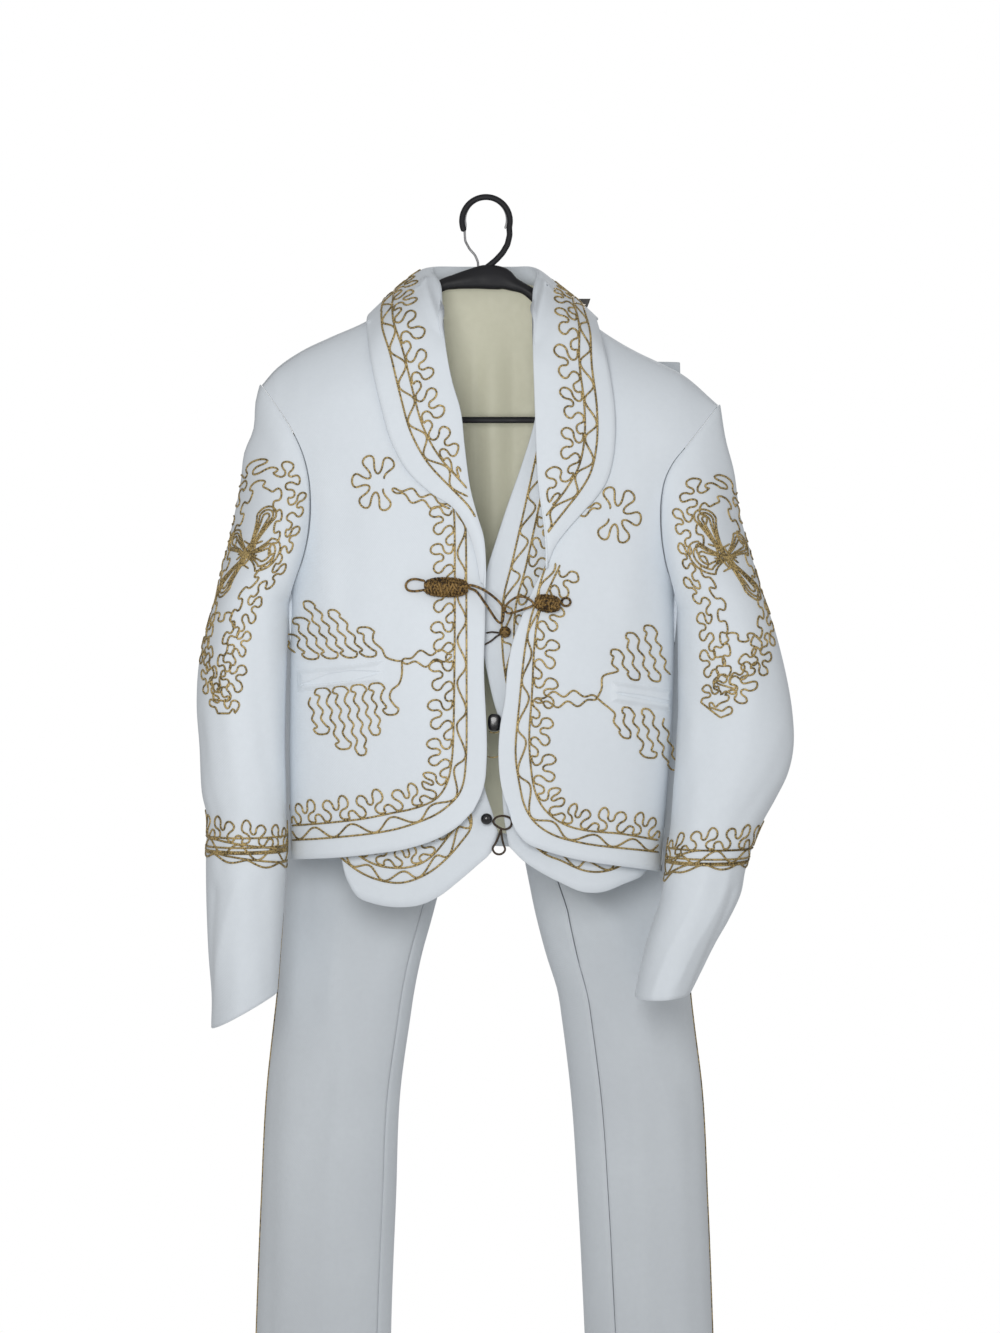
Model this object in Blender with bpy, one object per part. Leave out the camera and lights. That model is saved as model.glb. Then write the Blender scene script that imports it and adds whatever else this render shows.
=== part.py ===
"""Charro suit on its hangers: jacket with shawl collar, vest and trousers of light white twill.

Outlines are drawn on a front sheet in millimetres, u to the right and v down. The sheet is 1:1 at the
plane of the hanger, and the inner crown of its hook lies at (486, 200) on it. Depth runs along y, with
the front of the suit towards -y. Left and right are the viewer's.
"""
import math

import bpy
import numpy as np

HOOK_U, HOOK_V = 486.0, 200.0
EYE_U, EYE_V, EYE_Y = 500.0, 666.5, 2.3

WALL = 0.002
TROUSER_WALL = 0.0015
SEAM = 0.0004
SHOULDER_DROP = 75.0
TROUSER_Y = 0.0904

for old in list(bpy.data.objects):
    bpy.data.objects.remove(old, do_unlink=True)

suit = bpy.data.collections.new("charro_suit")
bpy.context.scene.collection.children.link(suit)


def place(u, v, y, plane=None):
    """A point of the sheet, carried along the line of sight to depth y, or to a plane and then straight back."""
    u, v, y = np.broadcast_arrays(np.asarray(u, float), np.asarray(v, float), np.asarray(y, float))
    grow = (EYE_Y + (y if plane is None else plane)) / EYE_Y
    x = (EYE_U - HOOK_U + (u - EYE_U) * grow) / 1000
    z = -(EYE_V - HOOK_V + (v - EYE_V) * grow) / 1000
    return np.stack([x, y, z], axis=-1)


def curve(rows, at):
    """Points of a smooth line through the rows, at fractions of its length."""
    rows = np.asarray(rows, float)
    steps = np.linalg.norm(np.diff(rows, axis=0), axis=1)
    knots = np.concatenate([[0], np.cumsum(steps)])
    slopes = np.gradient(rows, knots, axis=0)
    t = np.clip(np.asarray(at, float), 0, 1) * knots[-1]
    i = np.clip(np.searchsorted(knots, t, side="right") - 1, 0, len(rows) - 2)
    span = (knots[i + 1] - knots[i])[..., None]
    w = ((t - knots[i]) / (knots[i + 1] - knots[i]))[..., None]
    a, b = rows[i], rows[i + 1]
    p, q = slopes[i] * span, slopes[i + 1] * span
    return a + w * p + w**2 * (3 * (b - a) - 2 * p - q) + w**3 * (2 * (a - b) + p + q)


def column(table, key, value):
    """Linear reading of a column of a table against its first column."""
    rows = np.asarray(table, float)
    return np.interp(value, rows[:, 0], rows[:, key])


def smooth(t):
    t = np.clip(t, 0, 1)
    return t * t * (3 - 2 * t)


def patch(top, bottom, left, right, across, down):
    """Sheet points between four edges: rows down, columns across."""
    s = np.asarray(down)[:, None, None]
    t = np.asarray(across)[None, :, None]
    top_line, bottom_line = curve(top, across)[None], curve(bottom, across)[None]
    left_line, right_line = curve(left, down)[:, None], curve(right, down)[:, None]
    corners = (1 - s) * ((1 - t) * top_line[:, :1] + t * top_line[:, -1:])
    corners = corners + s * ((1 - t) * bottom_line[:, :1] + t * bottom_line[:, -1:])
    return (1 - s) * top_line + s * bottom_line + (1 - t) * left_line + t * right_line - corners


def finish(name, verts, faces, material):
    mesh = bpy.data.meshes.new(name)
    mesh.from_pydata([tuple(map(float, p)) for p in verts], [], faces)
    mesh.update()
    node = bpy.data.objects.new(name, mesh)
    suit.objects.link(node)
    node.data.materials.append(material)
    return node


def grid_normals(points, ring=False):
    """Unit normals of a grid of points, outward where the rows run down and the columns run left to right."""
    down = np.gradient(points, axis=0)
    if ring:
        across = (np.roll(points, -1, axis=1) - np.roll(points, 1, axis=1)) / 2
    else:
        across = np.gradient(points, axis=1)
    normal = np.cross(down, across)
    return normal / np.linalg.norm(normal, axis=-1, keepdims=True)


def cloth(name, points, wall, material, ring=False, flip=False, seam=None):
    """A wall of cloth: a grid of points, thickened inwards. At a seam in the plane y = seam it stays in that plane."""
    normal = grid_normals(points, ring) * (-1 if flip else 1)
    if seam is not None:
        rim = np.ones(points.shape[:2], bool)
        rim[1:-1, 1:-1] = False
        normal[rim & (np.abs(points[..., 1] - seam) < 0.001), 1] = 0
    normal = normal / np.linalg.norm(normal, axis=-1, keepdims=True)
    rows, cols = points.shape[:2]
    verts = np.concatenate([points.reshape(-1, 3), (points - normal * wall).reshape(-1, 3)])
    under = rows * cols
    faces = []

    def quad(a, b, c, d):
        faces.append((d, c, b, a) if flip else (a, b, c, d))

    last = cols if ring else cols - 1
    for i in range(rows - 1):
        for j in range(last):
            k = (j + 1) % cols
            a, b, c, d = i * cols + j, (i + 1) * cols + j, (i + 1) * cols + k, i * cols + k
            quad(a, b, c, d)
            quad(d + under, c + under, b + under, a + under)
    for j in range(last):
        k = (j + 1) % cols
        quad(j, k, k + under, j + under)
        j, k = (rows - 1) * cols + j, (rows - 1) * cols + k
        quad(k, j, j + under, k + under)
    if not ring:
        for i in range(rows - 1):
            a, b = i * cols, (i + 1) * cols
            quad(b, a, a + under, b + under)
            a, b = a + cols - 1, b + cols - 1
            quad(a, b, b + under, a + under)
    return finish(name, verts, faces, material)


def cord(name, points, radius, material, loop=False, sides=2):
    """A round cord or wire along the points."""
    line = bpy.data.curves.new(name, "CURVE")
    line.dimensions = "3D"
    line.bevel_depth = radius
    line.bevel_resolution = sides
    line.use_fill_caps = not loop
    run = line.splines.new("POLY")
    run.points.add(len(points) - 1)
    for knot, p in zip(run.points, points):
        knot.co = (*map(float, p), 1)
    run.use_cyclic_u = loop
    node = bpy.data.objects.new(name, line)
    suit.objects.link(node)
    node.data.materials.append(material)
    return node


def egg(name, centre, half, material, segments=14, rings=9, square=2.0):
    """A rounded body: an ellipsoid, or nearer a cushion with a higher square."""
    verts, faces = [], []
    for i in range(1, rings):
        for j in range(segments):
            lat = math.pi * i / rings
            turn = 2 * math.pi * j / segments
            d = np.array([math.cos(lat), math.sin(lat) * math.cos(turn), math.sin(lat) * math.sin(turn)])
            d = d / (np.abs(d) ** square).sum() ** (1 / square)
            verts.append(np.array(centre) + d * half)
    ends = len(verts)
    verts += [np.array(centre) + [half[0], 0, 0], np.array(centre) - [half[0], 0, 0]]
    for j in range(segments):
        k = (j + 1) % segments
        faces.append((ends, j, k))
        for i in range(rings - 2):
            faces.append((i * segments + j, (i + 1) * segments + j, (i + 1) * segments + k, i * segments + k))
        faces.append(((rings - 2) * segments + j, ends + 1, (rings - 2) * segments + k))
    return finish(name, verts, faces, material)


def paint(name, colour, rough, metal=0.0):
    material = bpy.data.materials.new(name)
    material.use_nodes = True
    shader = material.node_tree.nodes["Principled BSDF"]
    shader.inputs["Base Color"].default_value = (*colour, 1)
    shader.inputs["Roughness"].default_value = rough
    shader.inputs["Metallic"].default_value = metal
    return material


def part_paint(name, kind):
    colour, rough, metal = KINDS[kind]
    return paint(name, colour, rough, metal)


KINDS = {
    "twill": ((0.8, 0.82, 0.84), 0.85, 0.0),
    "satin": ((0.62, 0.58, 0.45), 0.5, 0.0),
    "gold": ((0.4, 0.25, 0.06), 0.45, 0.6),
    "dark": ((0.03, 0.022, 0.015), 0.5, 0.0),
    "plastic": ((0.01, 0.01, 0.012), 0.35, 0.0),
    "steel": ((0.5, 0.5, 0.5), 0.3, 1.0),
    "grey": ((0.08, 0.08, 0.08), 0.4, 0.0),
}

# BODY: v, u of the left side, u of the right side, depth in front, depth behind (m)
BODY = [
    (255, 240, 738, 0.046, 0.036),
    (400, 248, 732, 0.060, 0.043),
    (450, 262, 716, 0.064, 0.046),
    (500, 278, 695, 0.067, 0.048),
    (540, 287, 682, 0.069, 0.048),
    (590, 291.5, 674.5, 0.070, 0.047),
    (654, 290.5, 674, 0.070, 0.046),
    (700, 290, 673, 0.070, 0.045),
    (740, 289.5, 671, 0.070, 0.045),
    (800, 290, 666.5, 0.071, 0.046),
    (860, 291, 661.5, 0.072, 0.047),
    (915, 292, 659, 0.072, 0.048),
]
SHOULDER = [
    (262, 385), (275, 370), (300, 352), (330, 337.5), (365, 322), (395, 303), (418, 284),
    (438, 262), (486, 236), (532, 264), (552, 287), (570, 303), (594, 325), (625, 345.5), (640, 353.5),
    (657, 361.5), (680, 373), (718, 405),
]

# Soft folds of the body cloth: u and v of both ends, half width (mm), height (mm)
BODY_FOLDS = [
    (318, 470, 330, 640, 16, 2.2),
    (352, 500, 345, 600, 20, -1.6),
    (420, 620, 432, 800, 22, 1.8),
    (300, 560, 330, 700, 14, -1.5),
    (640, 470, 628, 600, 18, 2.0),
    (655, 560, 640, 700, 16, -1.6),
    (560, 640, 548, 830, 20, 1.5),
    (610, 640, 600, 800, 24, -1.4),
]


def fold_height(u, v, folds):
    total = np.zeros(np.broadcast(u, v).shape)
    for u0, v0, u1, v1, width, height in folds:
        along = ((u - u0) * (u1 - u0) + (v - v0) * (v1 - v0)) / ((u1 - u0) ** 2 + (v1 - v0) ** 2)
        t = np.clip(along, 0, 1)
        gap = np.hypot(u - u0 - t * (u1 - u0), v - v0 - t * (v1 - v0))
        total = total + height * np.exp(-((gap / width) ** 2)) / 1000
    return total


def body_depth(u, v, key, inside=0.0):
    """Depth of the jacket's body cloth from the hanger's plane, in front (key 3) or behind (key 4)."""
    left, right = column(BODY, 1, v), column(BODY, 2, v)
    across = np.clip(np.abs(2 * u - left - right) / (right - left), 0, 1)
    side = (1 - across**2.3) ** 0.5
    fall = np.clip((v - column(SHOULDER, 1, u)) / SHOULDER_DROP, 0, 1)
    rise = (1 - (1 - fall) ** 2) ** 0.5
    return (column(BODY, key, v) - inside) * side * rise


def front_y(u, v, inside=0.0):
    depth = body_depth(u, v, 3, inside)
    folds = fold_height(u, v, BODY_FOLDS) * smooth((v - 420) / 80) * np.clip(depth / 0.03, 0, 1)
    return -SEAM - depth - folds


def back_y(u, v, inside=0.0):
    return SEAM + body_depth(u, v, 4, inside)


# JACKET_EDGES: the edges of each front on the sheet
FRONT_LEFT = {
    "top": [(262, 385), (275, 370), (300, 352), (330, 337.5), (365, 322), (395, 303), (418, 284)],
    "outer": [(262, 385), (278, 407), (294, 433), (304, 456), (309, 477), (311, 500), (309.5, 530), (303, 560),
              (291.5, 590), (290.5, 654), (290, 700), (289.5, 740), (290, 800), (291, 859)],
    "inner": [(418, 284), (423, 301), (431, 322), (441, 370), (449, 402), (454, 430), (457, 467), (463, 505), (472, 532),
              (479, 557), (484, 592), (483.5, 668), (486, 765), (485, 779), (481, 795), (473, 811)],
    "hem": [(291, 859), (339, 857), (369, 854), (408, 848), (438, 838), (458, 826), (473, 811)],
}
FRONT_RIGHT = {
    "top": [(718, 405), (680, 373), (657, 361.5), (640, 353.5), (625, 345.5), (594, 325), (570, 303), (552, 287)],
    "outer": [(718, 405), (686, 446), (672.5, 463), (665, 478), (661, 497), (660, 516.6), (662, 545), (667, 570),
              (674.5, 590), (674, 654), (673, 700), (671, 740), (666.5, 800), (661.5, 871)],
    "inner": [(552, 287), (544, 320), (542, 370), (543.5, 402), (545, 440), (547, 480), (551, 510), (553, 535),
              (549, 560), (538, 580), (529, 600), (522, 617), (512, 646), (508, 668), (505, 700), (500, 730),
              (499, 765), (502, 789), (509, 811)],
    "hem": [(661.5, 871), (623, 866), (587, 861), (560, 855), (541, 849), (527, 843), (515, 829), (509, 811)],
}
BACK = {
    "top": [(262, 385), (275, 370), (300, 352), (330, 337.5), (365, 322), (395, 303), (418, 284), (430, 288),
            (455, 296), (486, 299), (515, 299), (540, 292), (552, 287), (570, 303), (594, 325), (625, 345.5),
            (640, 353.5), (657, 361.5),
            (680, 373), (718, 405)],
    "left": FRONT_LEFT["outer"],
    "right": FRONT_RIGHT["outer"],
    "hem": [(291, 859), (340, 853), (400, 848), (480, 845), (560, 850), (610, 858), (661.5, 871)],
}


def side_spread(count):
    """Fractions across a panel, closer together at the side, where it turns."""
    t = np.linspace(0, 1, count)
    return 1 - np.cos(t * math.pi / 2)


def drop_spread(count):
    t = np.linspace(0, 1, count)
    return 0.45 * t**2 + 0.55 * t


def front_panel(edges, cols, rows):
    grid = patch(edges["top"], edges["hem"], edges["outer"], edges["inner"], side_spread(cols), drop_spread(rows))
    u, v = grid[..., 0], grid[..., 1]
    return place(u, v, front_y(u, v))


def back_panel(cols, rows):
    half = side_spread(cols)
    across = np.concatenate([half / 2, 1 - half[-2::-1] / 2])
    grid = patch(BACK["top"], BACK["hem"], BACK["left"], BACK["right"], across, drop_spread(rows))
    u, v = grid[..., 0], grid[..., 1]
    return place(u, v, back_y(u, v))


cloth("jacket_front_left", front_panel(FRONT_LEFT, 12, 18), WALL, part_paint("jacket_front_left_twill", "twill"),
      seam=0.0)
cloth("jacket_front_right", front_panel(FRONT_RIGHT, 12, 18), WALL,
      part_paint("jacket_front_right_twill", "twill"), flip=True, seam=0.0)
cloth("jacket_back", back_panel(10, 15), WALL, part_paint("jacket_back_twill", "twill"), flip=True,
      seam=0.0)

# Sleeves: u and v of the outer edge, u and v of the inner edge, middle y, half depth (m)
SLEEVE_LEFT = [
    (216, 598, 288.5, 604, -0.006, 0.052),
    (207, 628, 287.5, 632, -0.007, 0.052),
    (199, 664, 286.5, 664, -0.008, 0.052),
    (197, 705, 285.5, 702, -0.009, 0.051),
    (200, 746, 285, 742, -0.010, 0.050),
    (202.4, 790, 286, 784, -0.012, 0.049),
    (208, 817, 286.5, 812, -0.013, 0.048),
    (207, 847, 287.5, 842, -0.014, 0.047),
    (207, 880, 286.5, 872, -0.015, 0.046),
    (208, 915, 284.5, 905, -0.016, 0.045),
    (210, 955, 282, 938, -0.017, 0.044),
    (213, 992, 280, 966, -0.018, 0.043),
    (213, 1025, 278, 991, -0.019, 0.042),
]
SLEEVE_RIGHT = [
    (764, 598, 677.5, 612, -0.006, 0.052),
    (775, 630, 678, 640, -0.007, 0.052),
    (786, 675, 678, 680, -0.009, 0.052),
    (792, 712, 678, 712, -0.010, 0.051),
    (793, 745, 676.5, 735, -0.012, 0.051),
    (787, 773, 675, 762, -0.014, 0.050),
    (774, 799, 673, 785, -0.016, 0.049),
    (762, 820, 671.5, 806, -0.018, 0.048),
    (752, 843, 669.5, 828, -0.020, 0.047),
    (744, 868, 666, 850, -0.022, 0.046),
    (739, 892, 663.5, 876, -0.024, 0.045),
    (727, 917, 659, 900, -0.026, 0.044),
    (713, 941, 650, 925, -0.028, 0.043),
    (700, 967, 641, 957, -0.029, 0.042),
    (689, 989, 633.6, 993, -0.030, 0.042),
]
SLEEVES = {
    "left": {
        "hole": [(262, 385), (278, 407), (294, 433), (304, 456), (309, 477), (311, 500), (309.5, 530), (303, 560),
                 (291.5, 590)],
        "outer": [(262, 385), (258, 400), (255, 430), (246, 452), (242, 481), (237, 507), (229, 542),
                  (220.6, 573), (216, 598)],
        "rows": SLEEVE_LEFT,
        "shift": -0.9,
    },
    "right": {
        "hole": [(718, 405), (686, 446), (672.5, 463), (665, 478), (661, 497), (660, 516.6), (662, 545),
                 (667, 570), (674.5, 590)],
        "outer": [(718, 405), (724, 440), (732, 469), (739.5, 516.5), (751, 555), (764, 598)],
        "rows": SLEEVE_RIGHT,
        "shift": 0.9,
    },
}
# Sleeve folds: turn from the outer edge over the front (degrees), v at both ends, half width (mm), height (mm)
SLEEVE_FOLDS = [
    (70, 640, 95, 800, 13, 2.4),
    (110, 620, 130, 760, 12, -2.2),
    (45, 890, 20, 1005, 9, -3.0),
    (95, 880, 85, 1000, 14, 2.0),
    (250, 640, 275, 860, 14, 2.2),
    (215, 700, 225, 900, 12, -2.0),
    (300, 600, 290, 760, 14, -2.0),
]
CAP_STEPS = [0.0, 0.12, 0.28, 0.46, 0.64, 0.82]


def sleeve_surface(part, turns):
    """Rings from the armhole to the cuff. A turn of 0 is the outer edge and a quarter turn the front."""
    rows = np.asarray(part["rows"], float)
    turns = np.asarray(turns, float)
    half = np.where(turns <= math.pi, turns, 2 * math.pi - turns) / math.pi
    hole = curve(part["hole"], half)
    front = turns <= math.pi
    hole_y = np.where(front, front_y(hole[:, 0], hole[:, 1]), back_y(hole[:, 0], hole[:, 1]))
    hole_y = np.where((half < 0.001) | (half > 0.999), 0.0, hole_y)
    shift = part["shift"] * (1 + 1.6 * (1 - half) ** 4 + 0.5 * half)

    def ring(row):
        ou, ov, iu, iv, y, depth = row
        lean = np.cos(turns)
        u = (ou + iu) / 2 + (ou - iu) / 2 * lean
        v = (ov + iv) / 2 + (ov - iv) / 2 * lean
        return u, v, y - depth * np.sin(turns)

    rings = []
    first = ring(rows[0])
    for t in CAP_STEPS:
        out = curve(part["outer"], [t])[0]
        pull = ((1 + np.cos(turns)) / 2) ** 1.5
        u = (1 - t) * (hole[:, 0] + shift) + t * first[0]
        v = (1 - t) * hole[:, 1] + t * first[1]
        u = u + pull * (out[0] - ((1 - t) * part["outer"][0][0] + t * part["outer"][-1][0]))
        v = v + pull * (out[1] - ((1 - t) * part["outer"][0][1] + t * part["outer"][-1][1]))
        swell = 0.011 * math.sin(math.pi * min(1.0, t * 1.2)) * np.sin(turns)
        y = (1 - t) * hole_y + t * first[2] - swell
        rings.append((u, v, y))
    rings += [ring(row) for row in rows]
    u = np.array([r[0] for r in rings])
    v = np.array([r[1] for r in rings])
    y = np.array([r[2] for r in rings])
    degrees = np.degrees(turns)[None, :]
    lift = fold_height(degrees * 0.9, v, [(a * 0.9, b, c * 0.9, d, w, h) for a, b, c, d, w, h in SLEEVE_FOLDS])
    lift = lift * smooth((v - 600) / 60) * 0.8
    away = np.cos(turns)[None, :] * np.sign(part["shift"])
    near = np.abs(np.sin(turns))[None, :]
    plane = np.where(np.arange(len(v)) < len(CAP_STEPS), np.nan, -0.01)[:, None]
    plane = np.where(np.isnan(plane), y, plane)
    return place(u + away * lift * 1000 * near, v, y - np.sin(turns)[None, :] * lift, plane)


SLEEVE_TURNS = np.arange(16) * 2 * math.pi / 16
cloth("jacket_sleeve_left", sleeve_surface(SLEEVES["left"], SLEEVE_TURNS), WALL,
      part_paint("jacket_sleeve_left_twill", "twill"), ring=True)
cloth("jacket_sleeve_right", sleeve_surface(SLEEVES["right"], SLEEVE_TURNS), WALL,
      part_paint("jacket_sleeve_right_twill", "twill"), ring=True, flip=True)

# Collar: fold u, v; outer edge u, v; lift off the panel (mm); stand height (mm); roll (mm)
COLLAR_LEFT = [
    (485.5, 588, 480.5, 582, 3.4, 3, 1),
    (486, 566, 475, 552, 3.4, 3, 3),
    (484, 538, 466, 527, 3.6, 4, 5),
    (477, 514, 452, 507, 3.8, 4, 6),
    (470, 486, 431, 493, 4.0, 5, 7),
    (465, 448, 408, 471, 4.2, 6, 8),
    (461, 412, 391, 440, 4.6, 7, 8),
    (452, 380, 381, 405, 5.2, 9, 8),
    (446, 348, 373, 370, 6.5, 11, 8),
]
COLLAR_RIGHT = [
    (545.5, 568, 548.5, 562, 3.4, 3, 1),
    (545.5, 552, 555, 546, 3.4, 3, 3),
    (544, 530, 567, 530, 3.6, 4, 5),
    (541, 507, 582, 513, 3.8, 4, 6),
    (537.5, 478, 597, 496, 4.0, 5, 7),
    (536, 448, 608, 477, 4.2, 6, 8),
    (535, 418, 614, 448, 4.6, 7, 8),
    (534, 388, 614.5, 412, 5.2, 9, 8),
    (533, 356, 610, 376, 6.5, 11, 8),
]
# Round the neck: fold u, v, y; crest u, v, y; outer edge u, v, y; stand base u, v, y (y in mm)
COLLAR_NECK = [
    (443, 312, -40, 400, 308, -64, 368, 342, -40, 438, 322, -36),
    (441, 285, -14, 402, 284.4, -24, 367, 317, -6, 438, 288, -12),
    (433, 271, 14, 410, 266, 22, 377, 313, 34, 431, 281, 13),
    (437, 267, 31, 416, 263, 45, 403, 321, 59, 438, 291, 29),
    (461, 267, 44, 455, 262, 62, 446, 330, 70, 461, 293, 42),
    (486, 267, 47, 486, 262, 66, 486, 333, 73, 486, 294, 45),
    (511, 267, 44, 518, 262, 62, 528, 332, 70, 511, 293, 42),
    (530, 267, 34, 544, 264, 50, 566, 326, 61, 530, 291, 32),
    (537, 273, 14, 556, 277, 22, 596, 319.5, 34, 539, 283, 13),
    (533, 289, -14, 567, 288.5, -24, 597, 320.5, -6, 536, 291, -12),
    (532, 318, -40, 570, 314, -64, 604, 346, -40, 536, 328, -36),
]


def leaf_rows(table):
    """Key points of the collar where it lies on a front, as rows of u, v, y."""
    found = []
    for fu, fv, ou, ov, lift, stand, roll in table:
        toward = np.array([ou - fu, ov - fv])
        crest = np.array([fu, fv]) + 0.3 * toward
        base = np.array([fu, fv]) + toward / np.linalg.norm(toward) * 1.5
        fold_y = float(front_y(fu, fv)) - lift / 1000 - 0.001
        found.append([
            (base[0], base[1], fold_y + stand / 1000 * 0.4 + 0.0008),
            (fu, fv, fold_y),
            (crest[0], crest[1], float(front_y(*crest)) - (lift + roll) / 1000),
            (ou, ov, float(front_y(ou, ov)) - lift / 1000),
        ])
    return found


def neck_rows():
    found = []
    for fu, fv, fy, cu, cv, cy, ou, ov, oy, bu, bv, by in COLLAR_NECK:
        found.append([(bu, bv, by / 1000), (fu, fv, fy / 1000), (cu, cv, cy / 1000), (ou, ov, oy / 1000)])
    return found


COLLAR_KEYS = np.array(leaf_rows(COLLAR_LEFT) + neck_rows() + leaf_rows(COLLAR_RIGHT)[::-1])


def over_front(u, v):
    """How far a point of the collar lies over a front: 1 over the cloth, 0 beyond its neck edge."""
    left, right = np.array(FRONT_LEFT["inner"]), np.array(FRONT_RIGHT["inner"])
    inside_left = smooth((np.interp(v, left[:14, 1], left[:14, 0]) + 14 - u) / 8)
    inside_right = smooth((u - np.interp(v, right[:12, 1], right[:12, 0]) + 14) / 8)
    return np.where(u < HOOK_U + 20, inside_left, inside_right) * smooth((v - column(SHOULDER, 1, u) + 3) / 4)


def clear_of_front(u, v):
    slope = (front_y(u, v + 1.5) - front_y(u, v - 1.5)) / 0.003
    return front_y(u, v) - 0.0036 * np.sqrt(1 + slope**2)


def collar_surface(along, cols):
    """Rows round the collar. The first columns are the stand and the rest the leaf, over its crest."""
    keys = COLLAR_KEYS
    spot = np.asarray(along) * (len(keys) - 1)
    lines = []
    for k in range(4):
        scaled = keys[:, k] * [1, 1, 1000]
        i = np.clip(spot.astype(int), 0, len(keys) - 2)
        w = (spot - i)[:, None]
        slopes = np.gradient(scaled, axis=0)
        a, b, p, q = scaled[i], scaled[i + 1], slopes[i], slopes[i + 1]
        line = a + w * p + w**2 * (3 * (b - a) - 2 * p - q) + w**3 * (2 * (a - b) + p + q)
        lines.append(line / [1, 1, 1000])
    base, fold, crest, outer = lines
    grid = [base]
    for t in np.linspace(0, 1, cols) ** 1.15:
        a, b, c = (1 - t) ** 2, 2 * t * (1 - t), t * t
        grid.append(a * fold + b * crest + c * outer)
    grid = np.stack(grid, axis=1)
    u, v, y = grid[..., 0], grid[..., 1], grid[..., 2]
    return place(u, v, y + over_front(u, v) * (np.minimum(y, clear_of_front(u, v)) - y) * (y < 0.004))


cloth("jacket_collar", collar_surface(np.linspace(0, 1, 43), 7), WALL, part_paint("jacket_collar_twill", "twill"))

# Pocket welts: corners of the welt on the sheet, lower outer, lower inner, upper inner, upper outer
WELT_LEFT = [(298, 692), (384, 683), (384, 661), (297, 671)]
WELT_RIGHT = [(611, 702), (671, 712), (671, 690), (611, 681)]


def welt_surface(corners, cols, rows, lift):
    a, b, c, d = (np.array(p, float) for p in corners)
    s = np.linspace(0, 1, rows)[:, None, None]
    t = np.linspace(0, 1, cols)[None, :, None]
    grid = s * ((1 - t) * a + t * b) + (1 - s) * ((1 - t) * d + t * c)
    u, v = grid[..., 0], grid[..., 1]
    points = place(u, v, front_y(u, v))
    return points + grid_normals(points) * lift


cloth("jacket_pocket_welt_left", welt_surface(WELT_LEFT, 9, 3, 0.0028), WALL,
      part_paint("jacket_pocket_welt_left_twill", "twill"))
cloth("jacket_pocket_welt_right", welt_surface(WELT_RIGHT, 7, 3, 0.0030), WALL,
      part_paint("jacket_pocket_welt_right_twill", "twill"))

# Vest: the same body, 14 mm further in
VEST_IN_FRONT, VEST_IN_BACK = 0.016, 0.014
VEST_LEFT = {
    "top": [(338, 338), (365, 326), (395, 307.5), (420, 290)],
    "outer": [(338, 338), (348, 368), (354, 410), (356, 450), (350, 500), (334, 550), (302, 596), (301, 660),
              (300, 740), (301, 800), (304, 832)],
    "inner": [(420, 290), (431, 332), (444, 390), (452, 440), (458, 490), (466, 540), (474, 580), (479, 620),
              (481, 680), (481, 750), (485, 790), (493, 815), (497.5, 832)],
    "hem": [(304, 832), (322, 838), (338, 852), (347, 880), (358, 897), (376, 904), (401, 907), (419, 905),
            (439, 896), (456, 883), (477, 865), (491, 852), (497.5, 832)],
}
VEST_RIGHT = {
    "top": [(636, 359.5), (594, 329.5), (570, 308), (551, 292.5)],
    "outer": [(636, 359.5), (624, 392), (617, 430), (615, 470), (620, 515), (636, 560), (664, 598), (663, 660),
              (662, 740), (658, 800), (653, 850)],
    "inner": [(551, 292.5), (546, 340), (541, 390), (533, 429), (522, 465), (508, 505), (495, 545), (486, 575),
              (483.5, 610), (484, 653), (489, 680), (494, 702), (500, 722), (502, 770), (504, 815), (509, 846)],
    "hem": [(653, 850), (645, 873), (623, 884), (601, 892), (585, 892), (560, 882), (539, 871), (524, 861),
            (509, 846)],
}


def vest_top(u):
    return np.interp(u, [300, 338, 365, 395, 420, 440, 486, 530, 551, 570, 594, 636, 680],
                     [357, 338, 326, 307.5, 290, 272, 240, 274, 292.5, 308, 329.5, 359.5, 380])


def vest_depth(u, v, key, inside):
    left, right = column(BODY, 1, v) + 9, column(BODY, 2, v) - 9
    across = np.clip(np.abs(2 * u - left - right) / (right - left), 0, 1)
    side = (1 - across**2.3) ** 0.5
    fall = np.clip((v - vest_top(u)) / SHOULDER_DROP, 0, 1)
    rise = (1 - (1 - fall) ** 2) ** 0.5
    return (column(BODY, key, v) - inside) * side * rise


def vest_panel(edges, cols, rows):
    grid = patch(edges["top"], edges["hem"], edges["outer"], edges["inner"], side_spread(cols), drop_spread(rows))
    u, v = grid[..., 0], grid[..., 1]
    return place(u, v, -SEAM - vest_depth(u, v, 3, VEST_IN_FRONT))


# Upright soft folds of the satin back: u, v at both ends, half width (mm), height (mm)
SATIN_FOLDS = [
    (452, 330, 458, 760, 9, 2.5), (474, 310, 478, 700, 7, -2.2), (492, 320, 500, 780, 9, 2.6),
    (514, 330, 512, 700, 7, -2.0), (420, 360, 415, 700, 14, -2.0), (570, 370, 580, 720, 16, 2.0),
]


def vest_back_panel(cols, rows):
    half = side_spread(cols)
    across = np.concatenate([half / 2, 1 - half[-2::-1] / 2])
    top = [(338, 338), (365, 326), (395, 307.5), (420, 290), (434, 286), (455, 282), (486, 281), (515, 282.5),
           (537, 287), (551, 292.5), (570, 308), (594, 329.5), (636, 359.5)]
    hem = [(304, 832), (400, 831), (486, 832), (570, 838), (653, 850)]
    grid = patch(top, hem, VEST_LEFT["outer"], VEST_RIGHT["outer"], across, drop_spread(rows))
    u, v = grid[..., 0], grid[..., 1]
    lift = fold_height(u, v, SATIN_FOLDS) * smooth((v - 320) / 60) * smooth((850 - v) / 60)
    return place(u, v, SEAM + vest_depth(u, v, 4, VEST_IN_BACK) - lift)


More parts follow.
